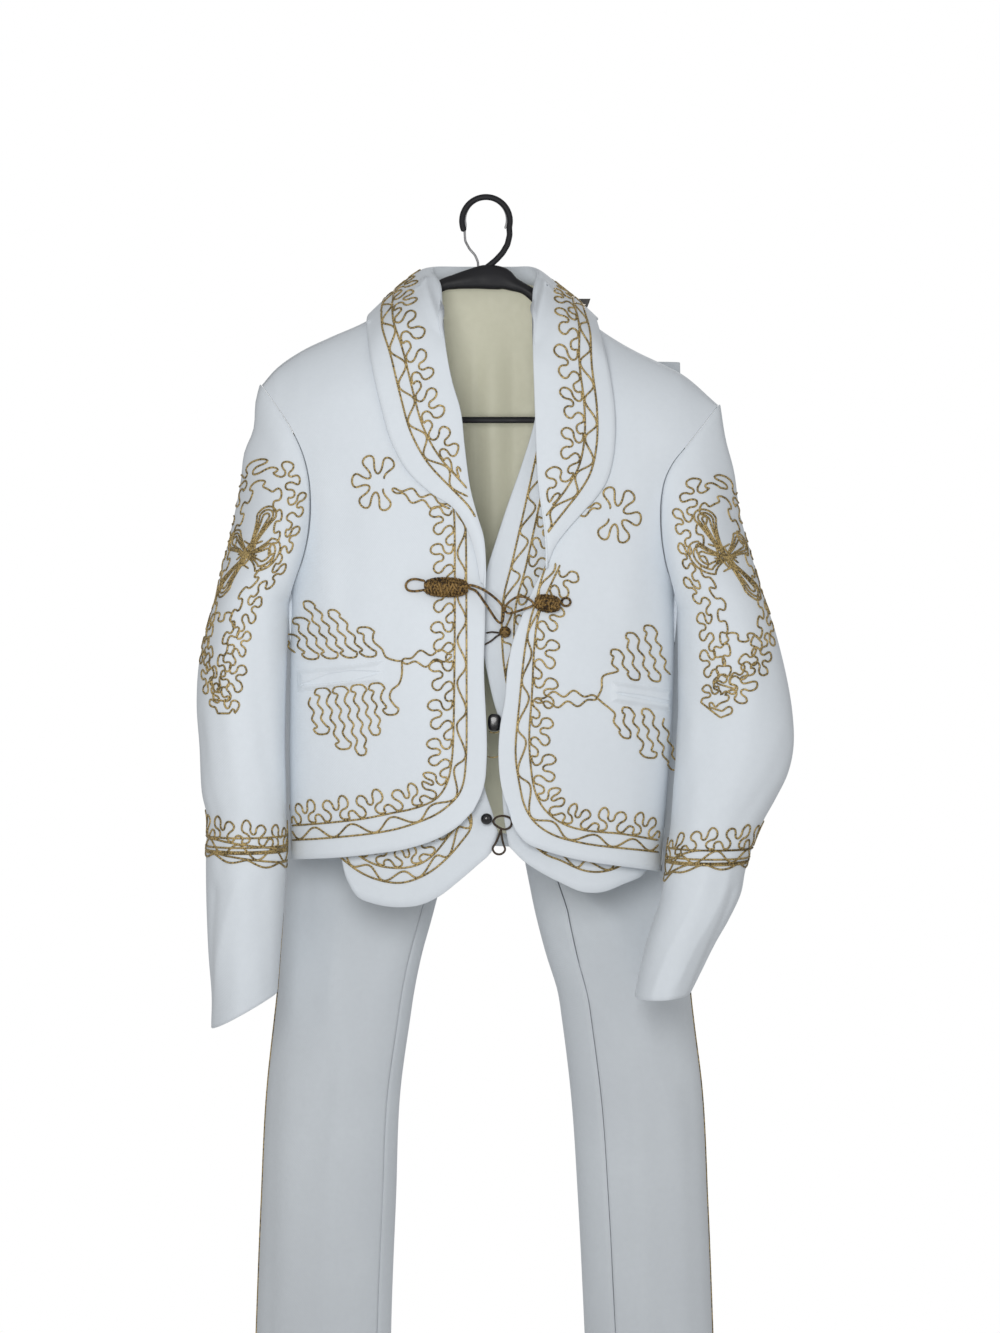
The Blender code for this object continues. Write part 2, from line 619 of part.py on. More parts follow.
VEST_WALL = 0.0015
cloth("vest_front_left", vest_panel(VEST_LEFT, 10, 15), VEST_WALL, part_paint("vest_front_left_twill", "twill"),
      seam=0.0)
cloth("vest_front_right", vest_panel(VEST_RIGHT, 10, 15), VEST_WALL,
      part_paint("vest_front_right_twill", "twill"), flip=True, seam=0.0)
cloth("vest_back", vest_back_panel(9, 11), VEST_WALL, part_paint("vest_back_satin", "satin"), flip=True,
      seam=0.0)


# Trousers: v, outer u and inner u of the left leg, outer u and inner u of the right leg, half depth (m)
LEGS = [
    (363, 300, 488, 680, 488, 0.012),
    (403, 297, 488, 681, 488, 0.014),
    (450, 293, 488, 684, 488, 0.024),
    (520, 288, 488, 688, 488, 0.036),
    (590, 285, 488, 691, 488, 0.043),
    (648, 283, 487, 692, 489, 0.046),
    (720, 283, 474, 691, 500, 0.047),
    (800, 284, 458, 689, 513, 0.048),
    (862, 285, 446, 688, 525, 0.048),
    (918, 283.5, 432, 687, 536.5, 0.048),
    (954, 281, 422, 688, 546, 0.048),
    (993, 278, 414, 690, 558, 0.048),
    (1020, 275, 410, 693, 562, 0.048),
    (1085, 268, 401, 701, 570, 0.048),
    (1200, 262, 396, 707, 578, 0.048),
    (1300, 258, 392, 711, 583, 0.047),
    (1390, 255, 390, 714, 587, 0.046),
]
CROTCH_V = 648.0
BAND_V = 403.0
CLIPS_U = (404.0, 578.0)
# Turn of the front panel from the outseam to the inseam below the crotch (degrees): v, left, right
INSEAM_TURN = [(648, 180, 180), (760, 166, 150), (905, 147, 125), (1400, 144, 122)]
# Leg folds: turn (degrees), v at both ends, half width (mm), height (mm), for both legs
LEG_FOLDS = {
    "left": [(60, 880, 100, 1080, 14, 2.5), (120, 900, 70, 1180, 12, -2.2), (40, 960, 55, 1300, 16, 2.0),
             (250, 700, 265, 1100, 18, 3.0), (300, 640, 290, 980, 15, -2.5), (220, 560, 240, 900, 15, 2.0)],
    "right": [(130, 870, 75, 950, 12, 2.8), (140, 930, 85, 1010, 12, -2.8), (130, 985, 70, 1050, 12, 2.6),
              (95, 900, 60, 1120, 14, 2.0), (65, 1000, 75, 1330, 15, -2.0), (250, 720, 235, 1100, 18, 3.0),
              (290, 600, 285, 950, 15, -2.5)],
}


def trouser_points(side, v, share, face):
    """Points of a trouser leg: share 0 at the outseam and 1 at the inner edge of the panel on that face."""
    v, share = np.broadcast_arrays(np.asarray(v, float), np.asarray(share, float))
    keys = (1, 2) if side == "left" else (3, 4)
    outer, inner = column(LEGS, keys[0], v), column(LEGS, keys[1], v)
    shape = np.radians(90 + 90 * smooth((v - 560) / (CROTCH_V - 560)) ** 1.4)
    seam = np.radians(column(INSEAM_TURN, 1 if side == "left" else 2, v))
    below = v > CROTCH_V
    end = np.where(below, seam if face == "front" else 2 * math.pi - seam, shape)
    turn = share * end
    u = outer + (inner - outer) * (1 - np.cos(turn)) / (1 - np.cos(np.where(below, math.pi, shape)))
    depth = column(LEGS, 5, v)
    pinch = sum(np.exp(-(((u - c) / 34) ** 6)) for c in CLIPS_U)
    flat = 0.0115 - 0.0078 * pinch
    depth = flat + (depth - flat) * smooth((v - BAND_V + 10) / 110)
    power = 0.62 + 0.38 * smooth((v - BAND_V) / 160)
    sine = np.sin(turn)
    reach = np.sign(sine) * np.abs(sine) ** power
    sign = -1 if face == "front" else 1
    degrees = np.degrees(turn) if face == "front" else 360 - np.degrees(turn)
    lift = fold_height(degrees, v, LEG_FOLDS[side]) * smooth((v - 520) / 120)
    y = TROUSER_Y + sign * (depth * reach + lift * np.abs(sine) * np.sign(reach))
    return u, v, y


def trouser_panel(side, face, cols, rows):
    v = np.concatenate([np.linspace(BAND_V + 0.1, CROTCH_V, 9), np.linspace(CROTCH_V, 1390, rows)[1:]])[:, None]
    share = np.linspace(0, 1, cols)[None, :]
    gap = 0.0008
    u, v, y = trouser_points(side, v, 0.004 + share * 0.992, face)
    inward = -1 if side == "left" else 1
    near_middle = smooth((CROTCH_V + 30 - v) / 60) * share**8
    u = u + inward * near_middle * gap * 500
    y = y + (-1 if face == "front" else 1) * SEAM * (np.cos(share * math.pi) > 0.2)
    return place(u, v, y, TROUSER_Y)


cloth("trousers_front_left", trouser_panel("left", "front", 9, 16), TROUSER_WALL,
      part_paint("trousers_front_left_twill", "twill"), seam=TROUSER_Y)
cloth("trousers_front_right", trouser_panel("right", "front", 9, 16), TROUSER_WALL,
      part_paint("trousers_front_right_twill", "twill"), flip=True, seam=TROUSER_Y)
cloth("trousers_back_left", trouser_panel("left", "back", 9, 16), TROUSER_WALL,
      part_paint("trousers_back_left_twill", "twill"), flip=True, seam=TROUSER_Y)
cloth("trousers_back_right", trouser_panel("right", "back", 9, 16), TROUSER_WALL,
      part_paint("trousers_back_right_twill", "twill"), seam=TROUSER_Y)


def waistband_rings():
    v = np.array([363, 383, 402.6])[:, None]
    share = np.array([0.0, 0.09, 0.2, 0.33, 0.45, 0.55, 0.64, 0.7, 0.765, 0.85, 0.93, 1.0])
    parts = []
    for side, face, run in (("left", "front", share), ("right", "front", share[-2::-1]),
                            ("right", "back", share[1:]), ("left", "back", share[-2:0:-1])):
        u, vv, y = trouser_points(side, v, run[None, :], face)
        parts.append(place(u, vv, y, TROUSER_Y))
    return np.concatenate(parts, axis=1)


cloth("trousers_waistband", waistband_rings(), TROUSER_WALL, part_paint("trousers_waistband_twill", "twill"),
      ring=True)

# Hanger: u, v of the middle of the section, half height (mm), half thickness (mm), round the whole frame
HANGER = [
    (486, 277, 12.3, 7.5), (470, 279, 10, 7.5), (455, 281.8, 7.6, 7), (442, 285.4, 6, 6), (430, 296, 5.4, 5.2),
    (418, 306, 8, 4.6), (390, 326, 8.2, 4.8), (365, 341, 8, 5), (330, 358, 7.5, 5), (302, 372, 7, 5),
    (290, 384, 6.5, 5), (290, 398, 5.5, 4.5), (300, 411, 4, 4), (322, 418, 3.2, 3.2), (380, 420, 3.2, 3.2),
    (440, 420, 3.2, 3.2), (500, 420, 3.2, 3.2), (560, 420, 3.2, 3.2), (640, 420, 3.2, 3.2), (668, 419, 4, 4),
    (682, 411, 5.5, 4.5), (683, 400, 6.5, 5), (668, 389, 7, 5), (640, 376.5, 7.5, 5), (594, 345, 8, 5),
    (567, 322.5, 8.2, 4.8), (550, 309.5, 8.2, 4.6), (538, 299, 6.4, 5.2), (525, 289.4, 5.4, 6), (513, 284, 7.4, 7),
    (502, 278.6, 11.4, 7.5),
]


def loft_loop(name, stations, sides, material):
    """A closed frame: sections of an ellipse at each station, square to the run."""
    rows = np.asarray(stations, float)
    count = len(rows)
    verts, faces = [], []
    for i in range(count):
        run = rows[(i + 1) % count, :2] - rows[i - 1, :2]
        run = run / np.linalg.norm(run)
        side = np.array([-run[1], run[0]])
        for j in range(sides):
            turn = 2 * math.pi * (j + 0.5) / sides
            offset = side * rows[i, 2] * math.cos(turn)
            verts.append(place(rows[i, 0] + offset[0], rows[i, 1] + offset[1], rows[i, 3] / 1000 * math.sin(turn)))
    for i in range(count):
        for j in range(sides):
            a, b = i * sides + j, i * sides + (j + 1) % sides
            c, d = ((i + 1) % count) * sides + (j + 1) % sides, ((i + 1) % count) * sides + j
            faces.append((a, b, c, d))
    return finish(name, verts, faces, material)


loft_loop("hanger_body", HANGER, 10, part_paint("hanger_body_plastic", "plastic"))


def hook_line(stem, radius, thickness, mirror):
    """A hook on a rod: stem on the sheet, then a round crown whose inner side touches the rod at HOOK."""
    points = [np.array(p, float) for p in stem]
    centre = np.array([HOOK_U, HOOK_V + radius - thickness])
    for degrees in np.linspace(-15, 205, 17):
        a = math.radians(degrees)
        points.append(centre + radius * np.array([math.cos(a) * mirror, -math.sin(a)]))
    return points


BLACK_HOOK = [(491.7, 264.2), (496, 260), (502.5, 253), (507.5, 244.5), (509.7, 235)]
cord("hanger_hook", [place(p[0], p[1], 0) for p in hook_line(BLACK_HOOK, 24, 3, 1)], 0.003,
     part_paint("hanger_hook_plastic", "plastic"), sides=3)

WIRE_HOOK = [(480, 317.6), (479, 290), (478, 262), (475, 255), (469.5, 249), (465.2, 241), (464.6, 232)]
cord("clip_hanger_hook", [place(p[0], p[1], TROUSER_Y) for p in hook_line(WIRE_HOOK, 21, 1.3, -1)], 0.0013,
     part_paint("clip_hanger_hook_steel", "steel"), sides=2)
cord("clip_hanger_bar", [place(u, 320.5, TROUSER_Y) for u in (397, 490, 585)], 0.0022,
     part_paint("clip_hanger_bar_steel", "steel"), sides=2)


def clip(name, u):
    """A spring clip: two plates that cross at the bar, jaws below on the waistband."""
    # depth (m), v and half width (mm) of one plate
    half = [(0.0, 311, 7.5), (0.0042, 311, 7.5), (0.0115, 298.8, 12.5), (0.0135, 299.4, 12.5), (0.0084, 312, 7.5),
            (0.0074, 330, 7.5), (0.0072, 340, 10.5), (0.0078, 352, 12.5), (0.0095, 366, 12.5), (0.0090, 377, 12.5),
            (0.0074, 377, 12.5), (0.0040, 371, 12.5), (0.0040, 360, 12.5), (0.0, 356, 12.5)]
    outline = [(-y, v, w) for y, v, w in half] + [(y, v, w) for y, v, w in half[-2:0:-1]]
    verts = []
    for edge in (-1, 1):
        for y, v, w in outline:
            verts.append(place(u + edge * w, v, TROUSER_Y + y))
    n = len(outline)
    faces = [tuple(range(n)), tuple(range(2 * n - 1, n - 1, -1))]
    faces += [(i, i + n, (i + 1) % n + n, (i + 1) % n) for i in range(n)]
    node = finish(name, verts, faces, part_paint(name + "_grey", "grey"))
    cutter = bpy.data.meshes.new(name + "_bore")
    ring = []
    spin = 12
    for edge in (u - 30, u + 30):
        middle = place(edge, 320.5, TROUSER_Y)
        for j in range(spin):
            turn = 2 * math.pi * j / spin
            ring.append(tuple(middle + np.array([0, math.cos(turn), math.sin(turn)]) * 0.0028))
    walls = [(j, (j + 1) % spin, spin + (j + 1) % spin, spin + j) for j in range(spin)]
    cutter.from_pydata(ring, [], walls + [tuple(range(spin))[::-1], tuple(range(spin, 2 * spin))])
    tool = bpy.data.objects.new(name + "_bore", cutter)
    suit.objects.link(tool)
    tool.hide_render = True
    tool.display_type = "WIRE"
    cut = node.modifiers.new("bore", "BOOLEAN")
    cut.operation = "DIFFERENCE"
    cut.solver = "EXACT"
    cut.object = tool
    return node


clip("clip_left", CLIPS_U[0])
clip("clip_right", CLIPS_U[1])


# Frog fasteners and the closures of the vest
def on_front(points, lift):
    """Points on the sheet, at a lift (m) in front of the jacket."""
    return [place(u, v, float(front_y(u, v)) - lift) for u, v in points]


def ring_line(centre, half_u, half_v, tilt, count):
    found = []
    for j in range(count):
        a = 2 * math.pi * j / count
        du, dv = half_u * math.cos(a), half_v * math.sin(a)
        c, s = math.cos(tilt), math.sin(tilt)
        found.append((centre[0] + du * c - dv * s, centre[1] + du * s + dv * c))
    return found


def barrel(name, u, v, half, turn):
    centre = place(u, v, float(front_y(u, v)) - half[1] - 0.0009)
    node = egg(name, (0, 0, 0), half, part_paint(name + "_gold", "gold"), square=2.6)
    node.location = tuple(centre)
    node.rotation_euler = (0, turn, 0)
    return node


barrel("frog_barrel_left", 446, 587.5, np.array([0.0215, 0.0052, 0.0095]), 0.02)
barrel("frog_barrel_right", 547.5, 603.5, np.array([0.0125, 0.0048, 0.0083]), 0.12)
cord("frog_tail_left", on_front(ring_line((413.6, 585.5), 9.2, 5.8, 0.0, 20), 0.0022), 0.0012,
     part_paint("frog_tail_left_gold", "gold"), loop=True)
cord("frog_tail_right", on_front(ring_line((566, 602), 4.6, 4.2, 0.1, 16), 0.0022), 0.0012,
     part_paint("frog_tail_right_gold", "gold"), loop=True)


def link(name, points, lift, radius, material):
    found = []
    for u, v in curve(points, np.linspace(0, 1, 30)[:-1]):
        found.append(place(u, v, -0.0735 - lift))
    return cord(name, found, radius, material, loop=True)


LINK_LEFT = [(469.3, 585), (480, 588), (492, 595.5), (502, 605.5), (503.5, 615), (501.5, 623), (496.5, 620),
             (487, 606), (476.5, 591.5), (469.3, 588.3), (469.3, 585)]
LINK_RIGHT = [(533, 602.5), (526, 597.5), (517, 597), (508, 603), (504.8, 609), (508, 613.5), (517, 611.5),
              (527, 608), (533, 605.5), (533, 602.5)]
link("frog_link_left", LINK_LEFT, 0.0042, 0.0013, part_paint("frog_link_left_gold", "gold"))
link("frog_link_right", LINK_RIGHT, 0.0015, 0.0012, part_paint("frog_link_right_gold", "gold"))


def vest_front_point(u, v, lift):
    return place(u, v, -SEAM - float(vest_depth(u, v, 3, VEST_IN_FRONT)) - lift)


egg("vest_knot", vest_front_point(505, 632, 0.0049), (0.0055, 0.0045, 0.0055), part_paint("vest_knot_dark", "dark"),
    segments=10, rings=7)
egg("vest_clasp", vest_front_point(494.5, 722.5, 0.0034), (0.0065, 0.0032, 0.0085),
    part_paint("vest_clasp_dark", "dark"), segments=10, rings=7, square=3.0)
egg("vest_button", vest_front_point(486.5, 819, 0.0052), (0.0056, 0.0046, 0.0056),
    part_paint("vest_button_dark", "dark"), segments=12, rings=8)
BUTTON_LOOP = [(493.5, 820), (498, 816.5), (505, 816), (511, 819), (511, 826), (505, 829.5), (498, 827), (493.5, 823),
               (493.5, 820)]
cord("vest_button_loop", [vest_front_point(u, v, 0.0020) for u, v in curve(BUTTON_LOOP, np.linspace(0, 1, 19)[:-1])],
     0.0011, part_paint("vest_button_loop_dark", "dark"), loop=True)
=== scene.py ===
import math

import bpy
import numpy as np
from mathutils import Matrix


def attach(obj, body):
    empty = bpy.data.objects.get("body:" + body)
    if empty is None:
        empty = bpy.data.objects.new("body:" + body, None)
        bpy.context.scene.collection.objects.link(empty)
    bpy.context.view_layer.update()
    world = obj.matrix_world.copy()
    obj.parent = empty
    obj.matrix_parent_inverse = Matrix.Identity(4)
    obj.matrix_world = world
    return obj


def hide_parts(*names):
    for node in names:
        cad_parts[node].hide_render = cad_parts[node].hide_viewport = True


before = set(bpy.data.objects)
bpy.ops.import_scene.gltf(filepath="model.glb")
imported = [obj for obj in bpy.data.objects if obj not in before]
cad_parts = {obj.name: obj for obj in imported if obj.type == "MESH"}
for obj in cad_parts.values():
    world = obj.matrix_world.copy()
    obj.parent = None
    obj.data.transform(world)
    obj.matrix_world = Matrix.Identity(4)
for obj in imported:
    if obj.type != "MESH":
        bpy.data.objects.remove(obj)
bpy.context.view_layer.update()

# The front sheet: u to the right and v down in millimetres, full size at the hanger's plane
sheet = {"hookU": 486.0, "hookV": 200.0, "eyeU": 500.0, "eyeV": 666.5, "eyeY": 2.3}
seamGap = 0.0004
trouserY = 0.0904
dice = np.random.default_rng(11)


def place(u, v, y, plane=None):
    u, v, y = np.broadcast_arrays(np.asarray(u, float), np.asarray(v, float), np.asarray(y, float))
    grow = (sheet["eyeY"] + (y if plane is None else plane)) / sheet["eyeY"]
    x = (sheet["eyeU"] - sheet["hookU"] + (u - sheet["eyeU"]) * grow) / 1000
    z = -(sheet["eyeV"] - sheet["hookV"] + (v - sheet["eyeV"]) * grow) / 1000
    return np.stack([x, y, z], axis=-1)


# The camera stands where the sheet's lines of sight meet
camera = bpy.data.objects.new("camera", bpy.data.cameras.new("camera"))
bpy.context.scene.collection.objects.link(camera)
camera.location = place(sheet["eyeU"], sheet["eyeV"], 0)
camera.location[1] = -sheet["eyeY"]
camera.rotation_euler = (math.pi / 2, 0, 0)
camera.data.sensor_fit = "VERTICAL"
camera.data.sensor_height = 36
camera.data.lens = 36 * sheet["eyeY"] / 1.333
bpy.context.scene.camera = camera
print("camera placed")


# curves and grids on the sheet
def hermite(rows, knots, spot):
    slopes = np.gradient(rows, knots, axis=0)
    i = np.clip(np.searchsorted(knots, spot, side="right") - 1, 0, len(knots) - 2)
    span = (knots[i + 1] - knots[i])[..., None]
    w = (spot - knots[i])[..., None] / span
    a, b, p, q = rows[i], rows[i + 1], slopes[i] * span, slopes[i + 1] * span
    return a + w * p + w**2 * (3 * (b - a) - 2 * p - q) + w**3 * (2 * (a - b) + p + q)


def curve(rows, at):
    rows = np.asarray(rows, float)
    knots = np.concatenate([[0], np.cumsum(np.linalg.norm(np.diff(rows, axis=0), axis=1))])
    return hermite(rows, knots, np.clip(np.asarray(at, float), 0, 1) * knots[-1])


def column(table, key, value):
    rows = np.asarray(table, float)
    value = np.clip(np.asarray(value, float), rows[0, 0], rows[-1, 0])
    return hermite(rows[:, key:key + 1], rows[:, 0], value)[..., 0]


def smooth(t):
    t = np.clip(t, 0, 1)
    return t * t * (3 - 2 * t)


def patch(top, bottom, left, right, across, down):
    s = np.asarray(down)[:, None, None]
    t = np.asarray(across)[None, :, None]
    topLine, bottomLine = curve(top, across)[None], curve(bottom, across)[None]
    leftLine, rightLine = curve(left, down)[:, None], curve(right, down)[:, None]
    corners = (1 - s) * ((1 - t) * topLine[:, :1] + t * topLine[:, -1:])
    corners = corners + s * ((1 - t) * bottomLine[:, :1] + t * bottomLine[:, -1:])
    return (1 - s) * topLine + s * bottomLine + (1 - t) * leftLine + t * rightLine - corners


def sideSpread(count):
    return 1 - np.cos(np.linspace(0, 1, count) * math.pi / 2)


def bothSides(count):
    half = sideSpread(count)
    return np.concatenate([half / 2, 1 - half[-2::-1] / 2])


def dropSpread(count):
    t = np.linspace(0, 1, count)
    return 0.45 * t**2 + 0.55 * t


def foldHeight(u, v, folds):
    # each fold: u and v of both ends, half width (mm), height (mm), and 1 for a sharper crest
    total = np.zeros(np.broadcast(u, v).shape)
    for u0, v0, u1, v1, width, height, *sharp in folds:
        along = ((u - u0) * (u1 - u0) + (v - v0) * (v1 - v0)) / ((u1 - u0) ** 2 + (v1 - v0) ** 2)
        t = np.clip(along, 0, 1)
        gap = np.hypot(u - u0 - t * (u1 - u0), v - v0 - t * (v1 - v0)) / width
        total = total + height * np.exp(-(gap ** (1.25 if sharp else 2.0))) / 1000
    return total


def slackness(u, v, size):
    # the slight unevenness of hung cloth, in metres
    a = np.sin(u / 31.0 + 1.3 * np.sin(v / 83.0) + 0.7) * np.sin(v / 59.0 + 0.8 * np.sin(u / 47.0))
    b = np.sin(u / 15.0 + v / 41.0 + 2.1) * np.sin(v / 27.0 - u / 63.0)
    return size * (a + 0.45 * b)


def gridNormals(points, ring=False):
    down = np.gradient(points, axis=0)
    if ring:
        across = (np.roll(points, -1, axis=1) - np.roll(points, 1, axis=1)) / 2
    else:
        across = np.gradient(points, axis=1)
    normal = np.cross(down, across)
    return normal / np.maximum(np.linalg.norm(normal, axis=-1, keepdims=True), 1e-9)


# meshes
def finish(name, verts, faces, material, node=None, slot=None, smoothFaces=True):
    mesh = bpy.data.meshes.new(name)
    mesh.from_pydata(np.asarray(verts, float).tolist(), [], [tuple(map(int, f)) for f in faces])
    mesh.update()
    if smoothFaces:
        mesh.shade_smooth()
    piece = bpy.data.objects.new(name, mesh)
    bpy.context.scene.collection.objects.link(piece)
    piece.data.materials.append(material)
    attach(piece, "root")
    for one in [node] if isinstance(node, str) else (node or []):
        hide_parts(one)
    return piece


def clothPiece(name, points, wall, material, node, ring=False, flip=False, seam=None, bulge=0.35):
    # an outer and an inner face, with a rounded rim between them
    normal = gridNormals(points, ring) * (-1 if flip else 1)
    rows, cols = points.shape[:2]
    onSeam = np.zeros((rows, cols), bool)
    if seam is not None:
        rim = np.ones((rows, cols), bool)
        rim[1:-1, 1:-1] = False
        onSeam = rim & (np.abs(points[..., 1] - seam) < 0.001)
        normal[onSeam, 1] = 0
        away = points - points.reshape(-1, 3).mean(axis=0)
        away[..., 1] = 0
        flat = onSeam & (np.linalg.norm(normal, axis=-1) < 0.05)
        normal[flat] = away[flat]
        normal = normal / np.maximum(np.linalg.norm(normal, axis=-1, keepdims=True), 1e-9)
    inner = points - normal * wall
    if ring:
        order = [(0, j) for j in range(cols)], [(rows - 1, j) for j in range(cols)]
    else:
        loop = [(0, j) for j in range(cols)] + [(i, cols - 1) for i in range(1, rows)]
        loop += [(rows - 1, j) for j in range(cols - 2, -1, -1)] + [(i, 0) for i in range(rows - 2, 0, -1)]
        order = (loop,)
    verts = [points.reshape(-1, 3), inner.reshape(-1, 3)]
    grid = np.arange(rows * cols).reshape(rows, cols)
    wrap = np.concatenate([grid, grid[:, :1]], axis=1) if ring else grid
    a, b, c, d = wrap[:-1, :-1], wrap[1:, :-1], wrap[1:, 1:], wrap[:-1, 1:]
    front = np.stack([a, b, c, d], axis=-1).reshape(-1, 4)
    under = rows * cols
    faces = [front[:, ::-1] if flip else front, (front if flip else front[:, ::-1]) + under]
    start = 2 * under
    for path in order:
        index = np.array([grid[p] for p in path])
        if ring:
            away = points[0] - points[1] if path[0][0] == 0 else points[-1] - points[-2]
        else:
            pull = np.zeros((rows, cols, 3))
            pull[0] += points[0] - points[1]
            pull[-1] += points[-1] - points[-2]
            pull[:, 0] += points[:, 0] - points[:, 1]
            pull[:, -1] += points[:, -1] - points[:, -2]
            away = pull.reshape(-1, 3)[index]
        away = away / np.maximum(np.linalg.norm(away, axis=-1, keepdims=True), 1e-9)
        middle = (points.reshape(-1, 3)[index] + inner.reshape(-1, 3)[index]) / 2
        middle = middle + away * wall * bulge * (~onSeam.reshape(-1)[index])[:, None]
        verts.append(middle)
        mid = start + np.arange(len(path))
        start += len(path)
        nextIndex, nextMid = np.roll(index, -1), np.roll(mid, -1)
        first = np.stack([index, nextIndex, nextMid, mid], axis=-1)
        second = np.stack([mid, nextMid, nextIndex + under, index + under], axis=-1)
        turnRound = flip != (ring and path[0][0] != 0)
        for strip in (first, second):
            faces.append(strip[:, ::-1] if turnRound else strip)
    return finish(name, np.concatenate(verts), np.concatenate(faces), material, node)


def tubeMesh(runs, width, height, lift, sides=6):
    # runs of (points, up directions, closed): one mesh of half round cords
    verts, faces, start = [], [], 0
    angles = np.arange(sides) * 2 * math.pi / sides + math.pi / sides
    for points, up, closed in runs:
        points, up = np.asarray(points, float), np.asarray(up, float)
        if len(points) < 3:
            continue
        if closed:
            run = np.roll(points, -1, axis=0) - np.roll(points, 1, axis=0)
        else:
            run = np.gradient(points, axis=0)
        run = run / np.maximum(np.linalg.norm(run, axis=1, keepdims=True), 1e-9)
        side = np.cross(run, up)
        side = side / np.maximum(np.linalg.norm(side, axis=1, keepdims=True), 1e-9)
        top = np.cross(side, run)
        wide = np.full(len(points), width / 2)
        if not closed:
            wide[0] = wide[-1] = width / 4
        ring = (points[:, None] + top[:, None] * (lift + np.sin(angles)[None, :, None] * height / 2)
                + side[:, None] * (np.cos(angles)[None, :, None] * wide[:, None, None]))
        count = len(points)
        grid = start + np.arange(count * sides).reshape(count, sides)
        verts.append(ring.reshape(-1, 3))
        start += count * sides
        wrap = np.concatenate([grid, grid[:, :1]], axis=1)
        if closed:
            wrap = np.concatenate([wrap, wrap[:1]], axis=0)
        quads = np.stack([wrap[:-1, :-1], wrap[:-1, 1:], wrap[1:, 1:], wrap[1:, :-1]], axis=-1)
        faces += quads.reshape(-1, 4)[:, ::-1].tolist()
        if not closed:
            faces += [grid[0].tolist(), grid[-1][::-1].tolist()]
    return np.concatenate(verts), faces


# materials: shared effects are groups, shaders stay in each material
def newGroup(name, inputs, outputs):
    group = bpy.data.node_groups.new(name, "ShaderNodeTree")
    for label, value in inputs:
        group.interface.new_socket(label, in_out="INPUT", socket_type="NodeSocketFloat").default_value = value
    for label, kind in outputs:
        group.interface.new_socket(label, in_out="OUTPUT", socket_type=kind)
    return group, group.nodes.new("NodeGroupInput"), group.nodes.new("NodeGroupOutput")


def mathNode(tree, kind, *values):
    node = tree.nodes.new("ShaderNodeMath")
    node.operation = kind
    for k, value in enumerate(values):
        if isinstance(value, (int, float)):
            node.inputs[k].default_value = value
        else:
            tree.links.new(value, node.inputs[k])
    return node.outputs[0]


def noiseNode(tree, vector, scale, detail=2.0, rough=0.5):
    node = tree.nodes.new("ShaderNodeTexNoise")
    node.inputs["Detail"].default_value = detail
    node.inputs["Roughness"].default_value = rough
    tree.links.new(vector, node.inputs["Vector"])
    if isinstance(scale, (int, float)):
        node.inputs["Scale"].default_value = scale
    else:
        tree.links.new(scale, node.inputs["Scale"])
    return node.outputs["Fac"]


def makeWeave():
    # a diagonal twill line crossed by finer threads, as a height
    tree, given, out = newGroup("twillWeave", [("Pitch", 420.0), ("Slub", 160.0)],
                                [("Height", "NodeSocketFloat"), ("Shade", "NodeSocketFloat")])
    where = tree.nodes.new("ShaderNodeTexCoord").outputs["Object"]
    wave = tree.nodes.new("ShaderNodeTexWave")
    wave.wave_type = "BANDS"
    wave.bands_direction = "DIAGONAL"
    tree.links.new(where, wave.inputs["Vector"])
    tree.links.new(given.outputs["Pitch"], wave.inputs["Scale"])
    threads = noiseNode(tree, where, mathNode(tree, "MULTIPLY", given.outputs["Pitch"], 3.0), 1.0)
    slub = noiseNode(tree, where, given.outputs["Slub"], 3.0)
    height = mathNode(tree, "ADD", mathNode(tree, "MULTIPLY", wave.outputs["Fac"], 0.6),
                      mathNode(tree, "MULTIPLY", threads, 0.4))
    tree.links.new(mathNode(tree, "ADD", height, mathNode(tree, "MULTIPLY", slub, 0.5)), out.inputs["Height"])
    tree.links.new(slub, out.inputs["Shade"])
    return tree


def makeRumple():
    # soft rumples of cloth that has hung for a while, as a height
    tree, given, out = newGroup("softRumple", [("Size", 14.0)], [("Height", "NodeSocketFloat")])
    where = tree.nodes.new("ShaderNodeTexCoord").outputs["Object"]
    stretch = tree.nodes.new("ShaderNodeMapping")
    stretch.inputs["Scale"].default_value = (1.6, 1.0, 0.55)
    tree.links.new(where, stretch.inputs["Vector"])
    tree.links.new(noiseNode(tree, stretch.outputs[0], given.outputs["Size"], 2.0, 0.42),
                   out.inputs["Height"])
    return tree


def makeMetalThread():
    # light and dark flecks along a couched metal cord: painted glints and painted shade of the twisted
    # thread, scattered at random
    tree, given, out = newGroup("metalThreadGlintShade", [("Fleck", 900.0), ("Contrast", 1.0)],
                                [("Mask", "NodeSocketFloat")])
    where = tree.nodes.new("ShaderNodeTexCoord").outputs["Object"]
    fleck = noiseNode(tree, where, given.outputs["Fleck"], 1.0, 0.6)
    patchy = noiseNode(tree, where, 60.0, 2.0)
    both = mathNode(tree, "ADD", mathNode(tree, "MULTIPLY", fleck, 0.7),
                    mathNode(tree, "MULTIPLY", patchy, 0.3))
    spread = mathNode(tree, "MULTIPLY", mathNode(tree, "SUBTRACT", both, 0.5), given.outputs["Contrast"])
    wide = mathNode(tree, "MULTIPLY_ADD", spread, 4.0, 0.5)
    clamp = tree.nodes.new("ShaderNodeClamp")
    tree.links.new(wide, clamp.inputs["Value"])
    tree.links.new(clamp.outputs[0], out.inputs["Mask"])
    return tree


groups = {"weave": makeWeave(), "rumple": makeRumple(), "thread": makeMetalThread()}


def addGroup(tree, key, **values):
    node = tree.nodes.new("ShaderNodeGroup")
    node.node_tree = groups[key]
    for label, value in values.items():
        node.inputs[label].default_value = value
    return node


